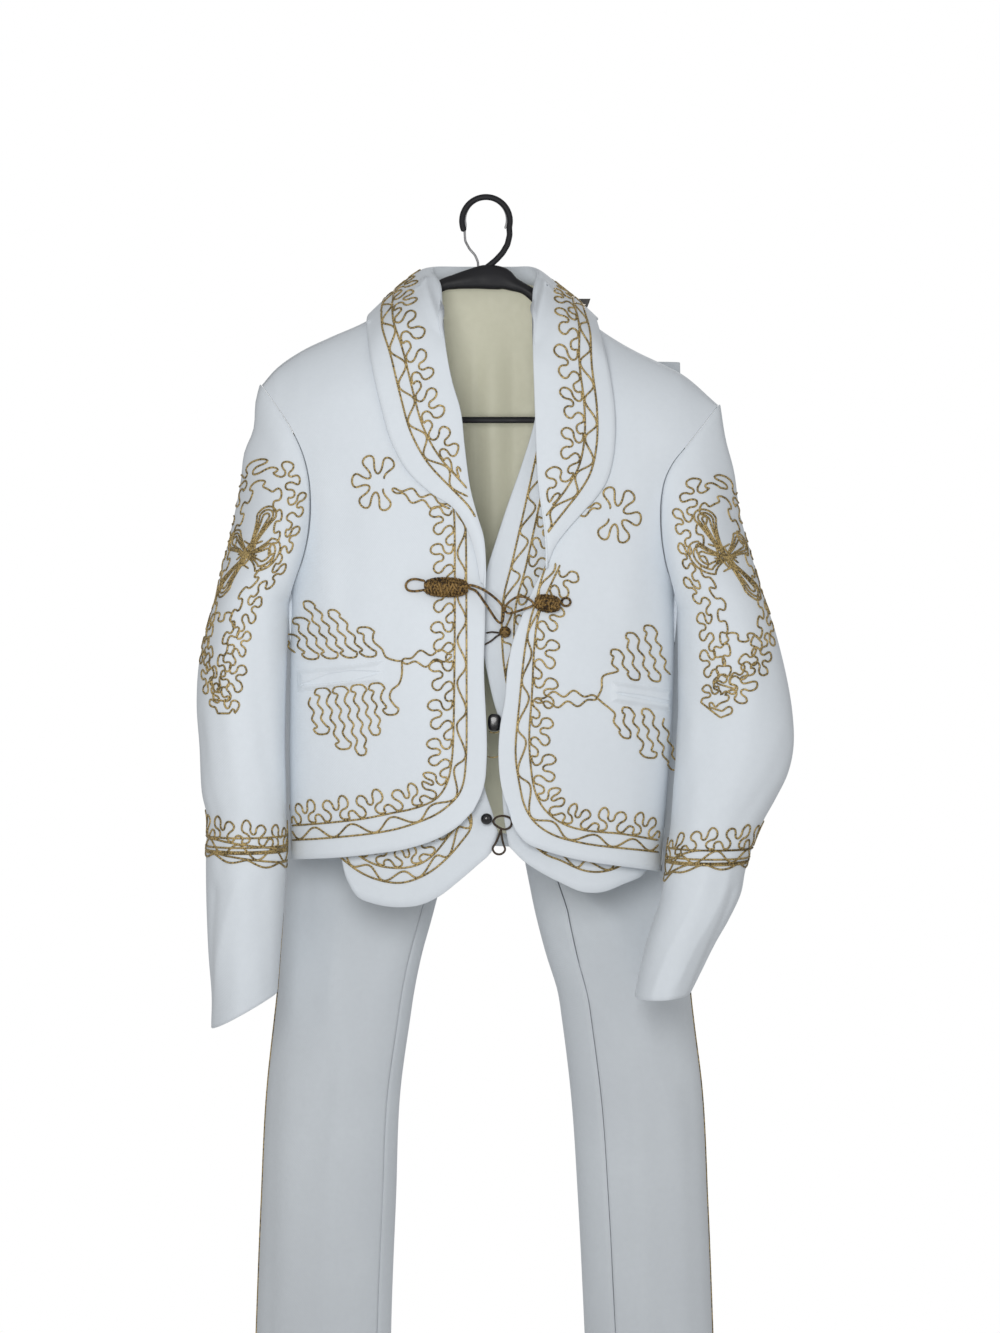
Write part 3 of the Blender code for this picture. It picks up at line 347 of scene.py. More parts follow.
def mixColour(tree, factor, low, high):
    node = tree.nodes.new("ShaderNodeMix")
    node.data_type = "RGBA"
    for socket, value in ((node.inputs["A"], low), (node.inputs["B"], high)):
        if isinstance(value, tuple):
            socket.default_value = (*value, 1)
        else:
            tree.links.new(value, socket)
    tree.links.new(factor, node.inputs["Factor"])
    return node.outputs["Result"]


def rangeNode(tree, value, lowIn, highIn, lowOut, highOut):
    node = tree.nodes.new("ShaderNodeMapRange")
    tree.links.new(value, node.inputs["Value"])
    for label, number in (("From Min", lowIn), ("From Max", highIn), ("To Min", lowOut), ("To Max", highOut)):
        node.inputs[label].default_value = number
    return node.outputs["Result"]


def bump(tree, height, strength, distance, below=None):
    node = tree.nodes.new("ShaderNodeBump")
    node.inputs["Strength"].default_value = strength
    node.inputs["Distance"].default_value = distance
    tree.links.new(height, node.inputs["Height"])
    if below is not None:
        tree.links.new(below, node.inputs["Normal"])
    return node.outputs["Normal"]


def newMaterial(name):
    material = bpy.data.materials.new(name)
    material.use_nodes = True
    return material, material.node_tree, material.node_tree.nodes["Principled BSDF"]


def clothMaterial(name, light, shade, rough, sheen, pitch, weave, rumple, rumpleSize=14.0):
    material, tree, shader = newMaterial(name)
    threads = addGroup(tree, "weave", Pitch=pitch)
    folds = addGroup(tree, "rumple", Size=rumpleSize)
    where = tree.nodes.new("ShaderNodeTexCoord").outputs["Object"]
    broad = rangeNode(tree, noiseNode(tree, where, 7.0, 3.0), 0.3, 0.7, 0.0, 1.0)
    colour = mixColour(tree, broad, shade, light)
    fine = rangeNode(tree, threads.outputs["Shade"], 0.3, 0.7, 0.0, 0.18)
    colour = mixColour(tree, fine, colour, tuple(c * 0.93 for c in shade))
    tree.links.new(colour, shader.inputs["Base Color"])
    tree.links.new(rangeNode(tree, threads.outputs["Shade"], 0.3, 0.7, rough - 0.06, rough + 0.06),
                   shader.inputs["Roughness"])
    low = bump(tree, folds.outputs["Height"], rumple, 0.004)
    tree.links.new(bump(tree, threads.outputs["Height"], weave, 0.0004, low), shader.inputs["Normal"])
    shader.inputs["Sheen Weight"].default_value = sheen
    shader.inputs["Sheen Roughness"].default_value = 0.45
    shader.inputs["Specular IOR Level"].default_value = 0.25
    return material


def metalThreadMaterial(name, dark, bright, rough, metal, fleck, contrast):
    material, tree, shader = newMaterial(name)
    # the base colour runs from the dark end, painted shade of the twist, to the bright end, painted glints
    glintShade = addGroup(tree, "thread", Fleck=fleck, Contrast=contrast)
    tree.links.new(mixColour(tree, glintShade.outputs["Mask"], dark, bright), shader.inputs["Base Color"])
    tree.links.new(rangeNode(tree, glintShade.outputs["Mask"], 0.0, 1.0, rough + 0.15, rough - 0.05),
                   shader.inputs["Roughness"])
    tree.links.new(bump(tree, glintShade.outputs["Mask"], 0.5, 0.0006), shader.inputs["Normal"])
    shader.inputs["Metallic"].default_value = metal
    return material


def hardMaterial(name, dark, light, rough, metal, grain, depth, coat=0.0):
    material, tree, shader = newMaterial(name)
    where = tree.nodes.new("ShaderNodeTexCoord").outputs["Object"]
    speck = noiseNode(tree, where, grain, 3.0, 0.55)
    wear = noiseNode(tree, where, grain / 12, 3.0, 0.6)
    tree.links.new(mixColour(tree, rangeNode(tree, wear, 0.35, 0.7, 0.0, 1.0), dark, light),
                   shader.inputs["Base Color"])
    tree.links.new(rangeNode(tree, wear, 0.3, 0.7, rough - 0.06, rough + 0.08), shader.inputs["Roughness"])
    tree.links.new(bump(tree, speck, 0.35, depth), shader.inputs["Normal"])
    shader.inputs["Metallic"].default_value = metal
    shader.inputs["Coat Weight"].default_value = coat
    return material


finishes = {
    "twill": dict(light=(0.778, 0.829, 0.88), shade=(0.742, 0.792, 0.842), rough=0.82, sheen=0.12,
                  pitch=420.0,
                  weave=0.25, rumple=0.5),
    # the trousers are the same white twill as the jacket: their darker colours are painted shade, for hanging
    # behind the jacket in its shadow
    "trouser": dict(light=(0.70, 0.745, 0.785), shade=(0.655, 0.695, 0.735), rough=0.82, sheen=0.12,
                    pitch=420.0,
                    weave=0.25, rumple=0.65, rumpleSize=11.0),
    "satin": dict(light=(0.80, 0.79, 0.62), shade=(0.74, 0.725, 0.56), rough=0.44, sheen=0.3, pitch=700.0,
                  weave=0.12, rumple=0.6, rumpleSize=12.0),
    # the gold cord's dark brown flecks are painted shade and its bright gold flecks are painted glints
    "gold": dict(dark=(0.10, 0.070, 0.026), bright=(0.60, 0.44, 0.18), rough=0.45, metal=0.3, fleck=650.0,
                 contrast=1.15),
    "braid": dict(dark=(0.018, 0.008, 0.002), bright=(0.27, 0.16, 0.045), rough=0.5, metal=0.3, fleck=520.0,
                  contrast=1.5),
    "darkCord": dict(dark=(0.012, 0.008, 0.006), bright=(0.09, 0.055, 0.03), rough=0.5, metal=0.2,
                     fleck=1100.0,
                     contrast=1.0),
    "plastic": dict(dark=(0.002, 0.002, 0.004), light=(0.005, 0.005, 0.009), rough=0.6, metal=0.0,
                    grain=900.0,
                    depth=0.0002),
    "steel": dict(dark=(0.30, 0.30, 0.31), light=(0.52, 0.52, 0.53), rough=0.3, metal=1.0, grain=700.0,
                  depth=0.0001),
    "clipMetal": dict(dark=(0.13, 0.12, 0.11), light=(0.2, 0.19, 0.18), rough=0.4, metal=0.7, grain=600.0,
                      depth=0.0002),
    "button": dict(dark=(0.004, 0.004, 0.005), light=(0.02, 0.018, 0.02), rough=0.25, metal=0.0, grain=500.0,
                   depth=0.0002, coat=0.4),
}
twill = clothMaterial("white_twill", **finishes["twill"])
# a darker copy of the white twill: painted shade on the trousers
trouserTwillPaintedShade = clothMaterial("white_twill_trousers", **finishes["trouser"])
satin = clothMaterial("cream_satin", **finishes["satin"])
gold = metalThreadMaterial("gold_couching", **finishes["gold"])
braid = metalThreadMaterial("gold_braid", **finishes["braid"])
darkCord = metalThreadMaterial("dark_cord", **finishes["darkCord"])
plastic = hardMaterial("black_plastic", **finishes["plastic"])
steel = hardMaterial("bright_steel", **finishes["steel"])
clipMetal = hardMaterial("grey_clip_metal", **finishes["clipMetal"])
buttonDark = hardMaterial("dark_button", **finishes["button"])
print("materials made")

# jacket body
# v, u of the left side, u of the right side, depth in front, depth behind
bodyTable = [
    (255, 240, 738, 0.046, 0.036), (400, 248, 732, 0.060, 0.043), (450, 262, 716, 0.064, 0.046),
    (500, 278, 695, 0.067, 0.048), (540, 287, 682, 0.069, 0.048), (590, 291.5, 674.5, 0.070, 0.047),
    (654, 290.5, 674, 0.070, 0.046), (700, 290, 673, 0.070, 0.045), (740, 289.5, 671, 0.070, 0.045),
    (800, 290, 666.5, 0.071, 0.046), (860, 291, 661.5, 0.072, 0.047), (915, 292, 659, 0.072, 0.048),
]
shoulder = np.array([
    (262, 385), (275, 370), (300, 352), (330, 337.5), (365, 322), (395, 303), (418, 284), (438, 262),
    (486, 236), (532, 264), (552, 287), (570, 303), (594, 325), (625, 345.5), (640, 353.5),
    (657, 361.5), (680, 373), (718, 405),
], float)
shoulderDrop = 75.0
bodyFolds = [
    (318, 470, 330, 640, 16, 2.2), (352, 500, 345, 600, 20, -1.6), (420, 620, 432, 800, 22, 1.8),
    (300, 560, 330, 700, 14, -1.5), (640, 470, 628, 600, 18, 2.0), (655, 560, 640, 700, 16, -1.6),
    (560, 640, 548, 830, 20, 1.5), (610, 640, 600, 800, 24, -1.4),
]
backFolds = [(340, 470, 352, 700, 18, 2.4), (620, 470, 606, 690, 18, 2.2), (430, 480, 440, 820, 26, -2.0),
             (545, 500, 535, 820, 24, -2.0), (486, 460, 486, 830, 20, 1.8), (395, 600, 385, 830, 18, 1.4),
             (585, 620, 592, 840, 18, 1.5)]


def bodyDepth(u, v, key, inside=0.0):
    left, right = column(bodyTable, 1, v), column(bodyTable, 2, v)
    across = np.clip(np.abs(2 * u - left - right) / (right - left), 0, 1)
    fall = np.clip((v - np.interp(u, shoulder[:, 0], shoulder[:, 1])) / shoulderDrop, 0, 1)
    return (column(bodyTable, key, v) - inside) * (1 - across**2.3) ** 0.5 * (1 - (1 - fall) ** 2) ** 0.5


def frontY(u, v):
    depth = bodyDepth(u, v, 3)
    full = smooth((v - 420) / 80) * np.clip(depth / 0.03, 0, 1)
    return -seamGap - depth - (foldHeight(u, v, bodyFolds) + slackness(u, v, 0.0005)) * full


def backY(u, v):
    depth = bodyDepth(u, v, 4)
    full = smooth((v - 400) / 80) * np.clip(depth / 0.03, 0, 1)
    return seamGap + depth + (foldHeight(u, v, backFolds) + slackness(u, v, 0.0008)) * full


frontLeft = {
    "top": [(262, 385), (275, 370), (300, 352), (330, 337.5), (365, 322), (395, 303), (418, 284)],
    "outer": [(262, 385), (278, 407), (294, 433), (304, 456), (309, 477), (311, 500), (309.5, 530),
              (303, 560),
              (291.5, 590), (290.5, 654), (290, 700), (289.5, 740), (290, 800), (291, 859)],
    "inner": [(418, 284), (423, 301), (431, 322), (441, 370), (449, 402), (454, 430), (457, 467), (463, 505),
              (472, 532), (479, 557), (484, 592), (483.5, 668), (486, 765), (485, 779), (481, 795),
              (473, 811)],
    "hem": [(291, 859), (339, 857), (369, 854), (408, 848), (438, 838), (458, 826), (473, 811)],
}
frontRight = {
    "top": [(718, 405), (680, 373), (657, 361.5), (640, 353.5), (625, 345.5), (594, 325), (570, 303),
            (552, 287)],
    "outer": [(718, 405), (686, 446), (672.5, 463), (665, 478), (661, 497), (660, 516.6), (662, 545),
              (667, 570),
              (674.5, 590), (674, 654), (673, 700), (671, 740), (666.5, 800), (661.5, 871)],
    "inner": [(552, 287), (544, 320), (542, 370), (543.5, 402), (545, 440), (547, 480), (551, 510),
              (553, 535),
              (549, 560), (538, 580), (529, 600), (522, 617), (512, 646), (508, 668), (505, 700), (500, 730),
              (499, 765), (502, 789), (509, 811)],
    "hem": [(661.5, 871), (623, 866), (587, 861), (560, 855), (541, 849), (527, 843), (515, 829), (509, 811)],
}
backEdges = {
    "top": [(262, 385), (275, 370), (300, 352), (330, 337.5), (365, 322), (395, 303), (418, 284), (430, 288),
            (455, 296), (486, 299), (515, 299), (540, 292), (552, 287), (570, 303), (594, 325), (625, 345.5),
            (640, 353.5), (657, 361.5),
            (680, 373), (718, 405)],
    "left": frontLeft["outer"],
    "right": frontRight["outer"],
    "hem": [(291, 859), (340, 853), (400, 848), (480, 845), (560, 850), (610, 858), (661.5, 871)],
}
jacket = {"wall": 0.002, "frontCols": 84, "frontRows": 120, "backCols": 56, "backRows": 96}


def frontGrid(edges, cols, rows, depthOf):
    grid = patch(edges["top"], edges["hem"], edges["outer"], edges["inner"], sideSpread(cols),
                 dropSpread(rows))
    return place(grid[..., 0], grid[..., 1], depthOf(grid[..., 0], grid[..., 1]))


for side, edges in (("left", frontLeft), ("right", frontRight)):
    clothPiece(f"jacket_front_{side}_cloth", frontGrid(edges, jacket["frontCols"], jacket["frontRows"],
                                                       frontY),
               jacket["wall"], twill, f"jacket_front_{side}", flip=side == "right", seam=0.0)
backGrid = patch(backEdges["top"], backEdges["hem"], backEdges["left"], backEdges["right"],
                 bothSides(jacket["backCols"]), dropSpread(jacket["backRows"]))
backPoints = place(backGrid[..., 0], backGrid[..., 1], backY(backGrid[..., 0], backGrid[..., 1]))
clothPiece("jacket_back_cloth", backPoints, jacket["wall"], twill, "jacket_back", flip=True, seam=0.0)
print("jacket body made")

# sleeves
# each row: u and v of the outer edge, u and v of the inner edge, middle y, half depth
sleeves = {
    "left": {
        "hole": frontLeft["outer"][:9],
        "outer": [(262, 385), (258, 400), (255, 430), (246, 452), (242, 481), (237, 507), (229, 542),
                  (220.6, 573), (216, 598)],
        "rows": [
            (216, 598, 288.5, 604, -0.006, 0.052), (207, 628, 287.5, 632, -0.007, 0.052),
            (199, 664, 286.5, 664, -0.008, 0.052), (197, 705, 285.5, 702, -0.009, 0.051),
            (200, 746, 285, 742, -0.010, 0.050), (202.4, 790, 286, 784, -0.012, 0.049),
            (208, 817, 286.5, 812, -0.013, 0.048), (207, 847, 287.5, 842, -0.014, 0.047),
            (207, 880, 286.5, 872, -0.015, 0.046), (208, 915, 284.5, 905, -0.016, 0.045),
            (210, 955, 282, 938, -0.017, 0.044), (213, 992, 280, 966, -0.018, 0.043),
            (213, 1025, 278, 991, -0.019, 0.042),
        ],
        "shift": -0.9,
        "folds": [(84, 880, 22, 1014, 15, 4.2, 1), (150, 700, 160, 860, 12, 1.5), (60, 640, 40, 800, 12, 1.2),
                  (30, 720, 60, 860, 9, -1.4), (120, 880, 140, 985, 12, -1.2)],
    },
    "right": {
        "hole": frontRight["outer"][:9],
        "outer": [(718, 405), (724, 440), (732, 469), (739.5, 516.5), (751, 555), (764, 598)],
        "rows": [
            (764, 598, 677.5, 612, -0.006, 0.052), (775, 630, 678, 640, -0.007, 0.052),
            (786, 675, 678, 680, -0.009, 0.052), (792, 712, 678, 712, -0.010, 0.051),
            (793, 745, 676.5, 735, -0.012, 0.051), (787, 773, 675, 762, -0.014, 0.050),
            (774, 799, 673, 785, -0.016, 0.049), (762, 820, 671.5, 806, -0.018, 0.048),
            (752, 843, 669.5, 828, -0.020, 0.047), (744, 868, 666, 850, -0.022, 0.046),
            (739, 892, 663.5, 876, -0.024, 0.045), (727, 917, 659, 900, -0.026, 0.044),
            (713, 941, 650, 925, -0.028, 0.043), (700, 967, 641, 957, -0.029, 0.042),
            (689, 989, 633.6, 993, -0.030, 0.042),
        ],
        "shift": 0.9,
        "folds": [(95, 870, 120, 985, 10, 2.6, 1), (60, 865, 75, 970, 9, 2.0, 1),
                  (140, 720, 120, 830, 11, 1.8),
                  (35, 740, 70, 830, 10, -1.6), (22, 880, 30, 980, 5, -1.2), (150, 640, 130, 740, 10, -1.2)],
    },
}
sleeveFolds = [
    (70, 640, 95, 800, 13, 2.4), (110, 620, 130, 760, 12, -2.2), (45, 890, 20, 1005, 9, -3.0),
    (95, 880, 85, 1000, 14, 2.0), (250, 640, 275, 860, 14, 2.2), (215, 700, 225, 900, 12, -2.0),
    (300, 600, 290, 760, 14, -2.0), (240, 880, 262, 1000, 12, 1.8), (318, 820, 300, 980, 12, -1.4),
]
capCount = 26
sleeveCols = 112


def sleeveGrid(part, turns, rowSteps):
    rows = np.asarray(part["rows"], float)
    half = np.where(turns <= math.pi, turns, 2 * math.pi - turns) / math.pi
    hole = curve(part["hole"], half)
    holeY = np.where(turns <= math.pi, frontY(hole[:, 0], hole[:, 1]), backY(hole[:, 0], hole[:, 1]))
    holeY = np.where((half < 0.001) | (half > 0.999), 0.0, holeY)
    shift = part["shift"] * (1 + 1.6 * (1 - half) ** 4 + 0.5 * half)
    knots = np.arange(len(rows), dtype=float)

    def ring(row):
        ou, ov, iu, iv, y, depth = row
        lean = np.cos(turns)
        return ((ou + iu) / 2 + (ou - iu) / 2 * lean, (ov + iv) / 2 + (ov - iv) / 2 * lean,
                y - depth * np.sin(turns))

    found = []
    first = ring(rows[0])
    pull = ((1 + np.cos(turns)) / 2) ** 1.5
    for t in np.linspace(0, 1, capCount)[:-1]:
        out = curve(part["outer"], np.array([t]))[0]
        u = (1 - t) * (hole[:, 0] + shift) + t * first[0]
        v = (1 - t) * hole[:, 1] + t * first[1]
        u = u + pull * (out[0] - ((1 - t) * part["outer"][0][0] + t * part["outer"][-1][0]))
        v = v + pull * (out[1] - ((1 - t) * part["outer"][0][1] + t * part["outer"][-1][1]))
        y = (1 - t) * holeY + t * first[2] - 0.011 * math.sin(math.pi * min(1.0, t * 1.2)) * np.sin(turns)
        bind = float(smooth((t - 0.7) / 0.3))
        found.append((u, v, y, (1 - bind) * y + bind * -0.01))
    for spot in np.linspace(0, len(rows) - 1, rowSteps):
        u, v, y = ring(hermite(rows, knots, np.array([spot]))[0])
        found.append((u, v, y, np.full_like(y, -0.01)))
    u, v, y, plane = (np.array([f[k] for f in found]) for k in range(4))
    degrees = np.degrees(turns)[None, :]
    folds = [(a * 0.9, b, c * 0.9, d, *more) for a, b, c, d, *more in sleeveFolds + part["folds"]]
    lift = foldHeight(degrees * 0.9, v, folds) * smooth((v - 600) / 60) * 0.8
    lift = lift + slackness(degrees * 0.8, v, 0.0007) * smooth((v - 440) / 120)
    away = np.cos(turns)[None, :] * np.sign(part["shift"])
    near = np.abs(np.sin(turns))[None, :]
    points = place(u + away * lift * 1000 * near, v, y - np.sin(turns)[None, :] * lift, plane)
    return points, v


sleeveTurns = np.arange(sleeveCols) * 2 * math.pi / sleeveCols
for side in ("left", "right"):
    grid, vGrid = sleeveGrid(sleeves[side], sleeveTurns, 96)
    sleeves[side]["grid"], sleeves[side]["v"] = grid, vGrid
    sleeves[side]["normal"] = gridNormals(grid, True) * (-1 if side == "right" else 1)
    sleeves[side]["piece"] = clothPiece(f"jacket_sleeve_{side}_cloth", grid, jacket["wall"], twill,
                                        f"jacket_sleeve_{side}", ring=True, flip=side == "right")
print("sleeves made")

# shawl collar: fold u, v; outer edge u, v; lift, stand and roll in mm
collarLeft = [
    (485.5, 588, 480.5, 582, 3.4, 3, 1), (486, 566, 475, 552, 3.4, 3, 3), (484, 538, 466, 527, 3.6, 4, 5),
    (477, 514, 452, 507, 3.8, 4, 6), (470, 486, 431, 493, 4.0, 5, 7), (465, 448, 408, 471, 4.2, 6, 8),
    (461, 412, 391, 440, 4.6, 7, 8), (452, 380, 381, 405, 5.2, 9, 8), (446, 348, 373, 370, 6.5, 11, 8),
]
collarRight = [
    (545.5, 568, 548.5, 562, 3.4, 3, 1), (545.5, 552, 555, 546, 3.4, 3, 3), (544, 530, 567, 530, 3.6, 4, 5),
    (541, 507, 582, 513, 3.8, 4, 6), (537.5, 478, 597, 496, 4.0, 5, 7), (536, 448, 608, 477, 4.2, 6, 8),
    (535, 418, 614, 448, 4.6, 7, 8), (534, 388, 614.5, 412, 5.2, 9, 8), (533, 356, 610, 376, 6.5, 11, 8),
]
# round the neck: fold, crest, outer edge and foot of the stand, each as u, v and y in mm
collarNeck = [
    (443, 312, -40, 400, 308, -64, 368, 342, -40, 438, 322, -36),
    (441, 285, -14, 402, 284.4, -24, 367, 317, -6, 438, 288, -12),
    (433, 271, 14, 410, 266, 22, 377, 313, 34, 431, 281, 13),
    (437, 267, 31, 416, 263, 45, 403, 321, 59, 438, 291, 29),
    (461, 267, 44, 455, 262, 62, 446, 330, 70, 461, 293, 42),
    (486, 267, 47, 486, 262, 66, 486, 333, 73, 486, 294, 45),
    (511, 267, 44, 518, 262, 62, 528, 332, 70, 511, 293, 42),
    (530, 267, 34, 544, 264, 50, 566, 326, 61, 530, 291, 32),
    (537, 273, 14, 556, 277, 22, 596, 319.5, 34, 539, 283, 13),
    (533, 289, -14, 567, 288.5, -24, 597, 320.5, -6, 536, 291, -12),
    (532, 318, -40, 570, 314, -64, 604, 346, -40, 536, 328, -36),
]


def leafRows(table):
    found = []
    for fu, fv, ou, ov, lift, stand, roll in table:
        toward = np.array([ou - fu, ov - fv])
        crest = np.array([fu, fv]) + 0.3 * toward
        base = np.array([fu, fv]) + toward / np.linalg.norm(toward) * 1.5
        foldY = float(frontY(fu, fv)) - lift / 1000 - 0.001
        found.append([
            (base[0], base[1], foldY + stand / 1000 * 0.4 + 0.0008),
            (fu, fv, foldY),
            (crest[0], crest[1], float(frontY(*crest)) - (lift + roll) / 1000),
            (ou, ov, float(frontY(ou, ov)) - lift / 1000),
        ])
    return found


def neckRows():
    return [[(bu, bv, by / 1000), (fu, fv, fy / 1000), (cu, cv, cy / 1000), (ou, ov, oy / 1000)]
            for fu, fv, fy, cu, cv, cy, ou, ov, oy, bu, bv, by in collarNeck]


collarKeys = np.array(leafRows(collarLeft) + neckRows() + leafRows(collarRight)[::-1])


def overFront(u, v):
    left, right = np.array(frontLeft["inner"]), np.array(frontRight["inner"])
    insideLeft = smooth((np.interp(v, left[:14, 1], left[:14, 0]) + 14 - u) / 8)
    insideRight = smooth((u - np.interp(v, right[:12, 1], right[:12, 0]) + 14) / 8)
    above = smooth((v - np.interp(u, shoulder[:, 0], shoulder[:, 1]) + 3) / 4)
    return np.where(u < sheet["hookU"] + 20, insideLeft, insideRight) * above


def clearOfFront(u, v):
    slope = (frontY(u, v + 1.5) - frontY(u, v - 1.5)) / 0.003
    return frontY(u, v) - 0.0036 * np.sqrt(1 + slope**2)


def collarGrid(along, cols):
    knots = np.arange(len(collarKeys), dtype=float)
    spot = np.asarray(along) * (len(collarKeys) - 1)
    base, fold, crest, outer = (hermite(collarKeys[:, k], knots, spot) for k in range(4))
    grid = [base]
    for t in np.linspace(0, 1, cols) ** 1.15:
        grid.append((1 - t) ** 2 * fold + 2 * t * (1 - t) * crest + t * t * outer)
    grid = np.stack(grid, axis=1)
    u, v, y = grid[..., 0], grid[..., 1], grid[..., 2]
    return place(u, v, y + overFront(u, v) * (np.minimum(y, clearOfFront(u, v)) - y) * (y < 0.004))


collar = {"rows": 330, "cols": 30}
collar["grid"] = collarGrid(np.linspace(0, 1, collar["rows"]), collar["cols"])
collar["normal"] = gridNormals(collar["grid"])
collar["piece"] = clothPiece("jacket_collar_cloth", collar["grid"], jacket["wall"], twill, "jacket_collar")
print("collar made")

# pocket welts, each with a mouth that gapes a little
welts = {
    "left": {"corners": [(298, 692), (384, 683), (384, 661), (297, 671)], "lift": 0.0028,
             "mouth": [(300, 685, 685.6), (312, 680.7, 684.5), (330, 673.5, 683), (352, 670.4, 681),
                       (370, 671, 676),
                       (382, 671.6, 672.6)]},
    "right": {"corners": [(611, 702), (671, 712), (671, 690), (611, 681)], "lift": 0.0030,
              "mouth": [(613, 692, 692.8), (622, 692.6, 695), (640, 695, 698.6), (655, 698, 701.2),
                        (670, 701.4, 703.6)]},
}


def weltGrid(part, cols, rows):
    a, b, c, d = (np.array(p, float) for p in part["corners"])
    s = np.linspace(0, 1, rows)[:, None, None]
    t = np.linspace(0, 1, cols)[None, :, None]
    grid = s * ((1 - t) * a + t * b) + (1 - s) * ((1 - t) * d + t * c)
    u, v = grid[..., 0], grid[..., 1]
    points = place(u, v, frontY(u, v))
    mouth = np.array(part["mouth"], float)
    high, low = np.interp(u, mouth[:, 0], mouth[:, 1]), np.interp(u, mouth[:, 0], mouth[:, 2])
    inside = np.clip(np.minimum(v - high, low - v) / 1.0 + 0.6, 0, 1)
    inside = inside * smooth((u - mouth[0, 0]) / 3) * smooth((mouth[-1, 0] + 1 - u) / 3)
    rim = np.exp(-((v - high) / 2.2) ** 2) * 0.0005
    # the welt dies away into the front, so only its mouth shows
    border = smooth(np.minimum(np.minimum(s, 1 - s) * 4.2, np.minimum(t, 1 - t) * 11.0))[..., 0]
    lift = 0.0003 + (part["lift"] - 0.0003 + rim - inside * 0.0014) * border
    return points + gridNormals(points) * lift[..., None]


for side in ("left", "right"):
    clothPiece(f"pocket_welt_{side}_cloth", weltGrid(welts[side], 110, 44), jacket["wall"], twill,
               f"jacket_pocket_welt_{side}")
print("pocket welts made")

# vest
vest = {"wall": 0.0015, "frontInside": 0.016, "backInside": 0.014}
vestLeft = {
    "top": [(338, 338), (365, 326), (395, 307.5), (420, 290)],
    "outer": [(338, 338), (348, 368), (354, 410), (356, 450), (350, 500), (334, 550), (302, 596), (301, 660),
              (300, 740), (301, 800), (304, 832)],
    "inner": [(420, 290), (431, 332), (444, 390), (452, 440), (458, 490), (466, 540), (474, 580), (479, 620),
              (481, 680), (481, 750), (485, 790), (493, 815), (497.5, 832)],
    "hem": [(304, 832), (322, 838), (338, 852), (347, 880), (358, 897), (376, 904), (401, 907), (419, 905),
            (439, 896), (456, 883), (477, 865), (491, 852), (497.5, 832)],
}
vestRight = {
    "top": [(636, 359.5), (594, 329.5), (570, 308), (551, 292.5)],
    "outer": [(636, 359.5), (624, 392), (617, 430), (615, 470), (620, 515), (636, 560), (664, 598),
              (663, 660),
              (662, 740), (658, 800), (653, 850)],
    "inner": [(551, 292.5), (546, 340), (541, 390), (533, 429), (522, 465), (508, 505), (495, 545),
              (486, 575),
              (483.5, 610), (484, 653), (489, 680), (494, 702), (500, 722), (502, 770), (504, 815),
              (509, 846)],
    "hem": [(653, 850), (645, 873), (623, 884), (601, 892), (585, 892), (560, 882), (539, 871), (524, 861),
            (509, 846)],
}
vestShoulder = ([300, 338, 365, 395, 420, 440, 486, 530, 551, 570, 594, 636, 680],
                [357, 338, 326, 307.5, 290, 272, 240, 274, 292.5, 308, 329.5, 359.5, 380])
satinFolds = [
    (452, 330, 458, 760, 9, 2.5), (474, 310, 478, 700, 7, -2.2), (492, 320, 500, 780, 9, 2.6),
    (514, 330, 512, 700, 7, -2.0), (420, 360, 415, 700, 14, -2.0), (570, 370, 580, 720, 16, 2.0),
]


def vestDepth(u, v, key, inside):
    left, right = column(bodyTable, 1, v) + 9, column(bodyTable, 2, v) - 9
    across = np.clip(np.abs(2 * u - left - right) / (right - left), 0, 1)
    fall = np.clip((v - np.interp(u, *vestShoulder)) / shoulderDrop, 0, 1)
    return (column(bodyTable, key, v) - inside) * (1 - across**2.3) ** 0.5 * (1 - (1 - fall) ** 2) ** 0.5


def vestFrontY(u, v):
    depth = vestDepth(u, v, 3, vest["frontInside"])
    return -seamGap - depth - slackness(u + 40, v, 0.0006) * np.clip(depth / 0.03, 0,
                                                                     1) * smooth((v - 400) / 80)


def vestBackY(u, v):
    lift = foldHeight(u, v, satinFolds) * smooth((v - 320) / 60) * smooth((850 - v) / 60)
    return seamGap + vestDepth(u, v, 4, vest["backInside"]) - lift


clothPiece("vest_front_left_cloth", frontGrid(vestLeft, 60, 100, vestFrontY), vest["wall"], twill,
           "vest_front_left", seam=0.0)
clothPiece("vest_front_right_cloth", frontGrid(vestRight, 60, 100, vestFrontY), vest["wall"], twill,
           "vest_front_right", flip=True, seam=0.0)
vestBackEdges = {
    "top": [(338, 338), (365, 326), (395, 307.5), (420, 290), (434, 286), (455, 282), (486, 281),
            (515, 282.5),
            (537, 287), (551, 292.5), (570, 308), (594, 329.5), (636, 359.5)],
    "hem": [(304, 832), (400, 831), (486, 832), (570, 838), (653, 850)],
}
vestBackGrid = patch(vestBackEdges["top"], vestBackEdges["hem"], vestLeft["outer"], vestRight["outer"],
                     bothSides(46), dropSpread(90))
clothPiece("vest_back_cloth", place(vestBackGrid[..., 0], vestBackGrid[..., 1],
           vestBackY(vestBackGrid[..., 0], vestBackGrid[..., 1])), vest["wall"], satin, "vest_back",
           flip=True,
           seam=0.0)
print("vest made")

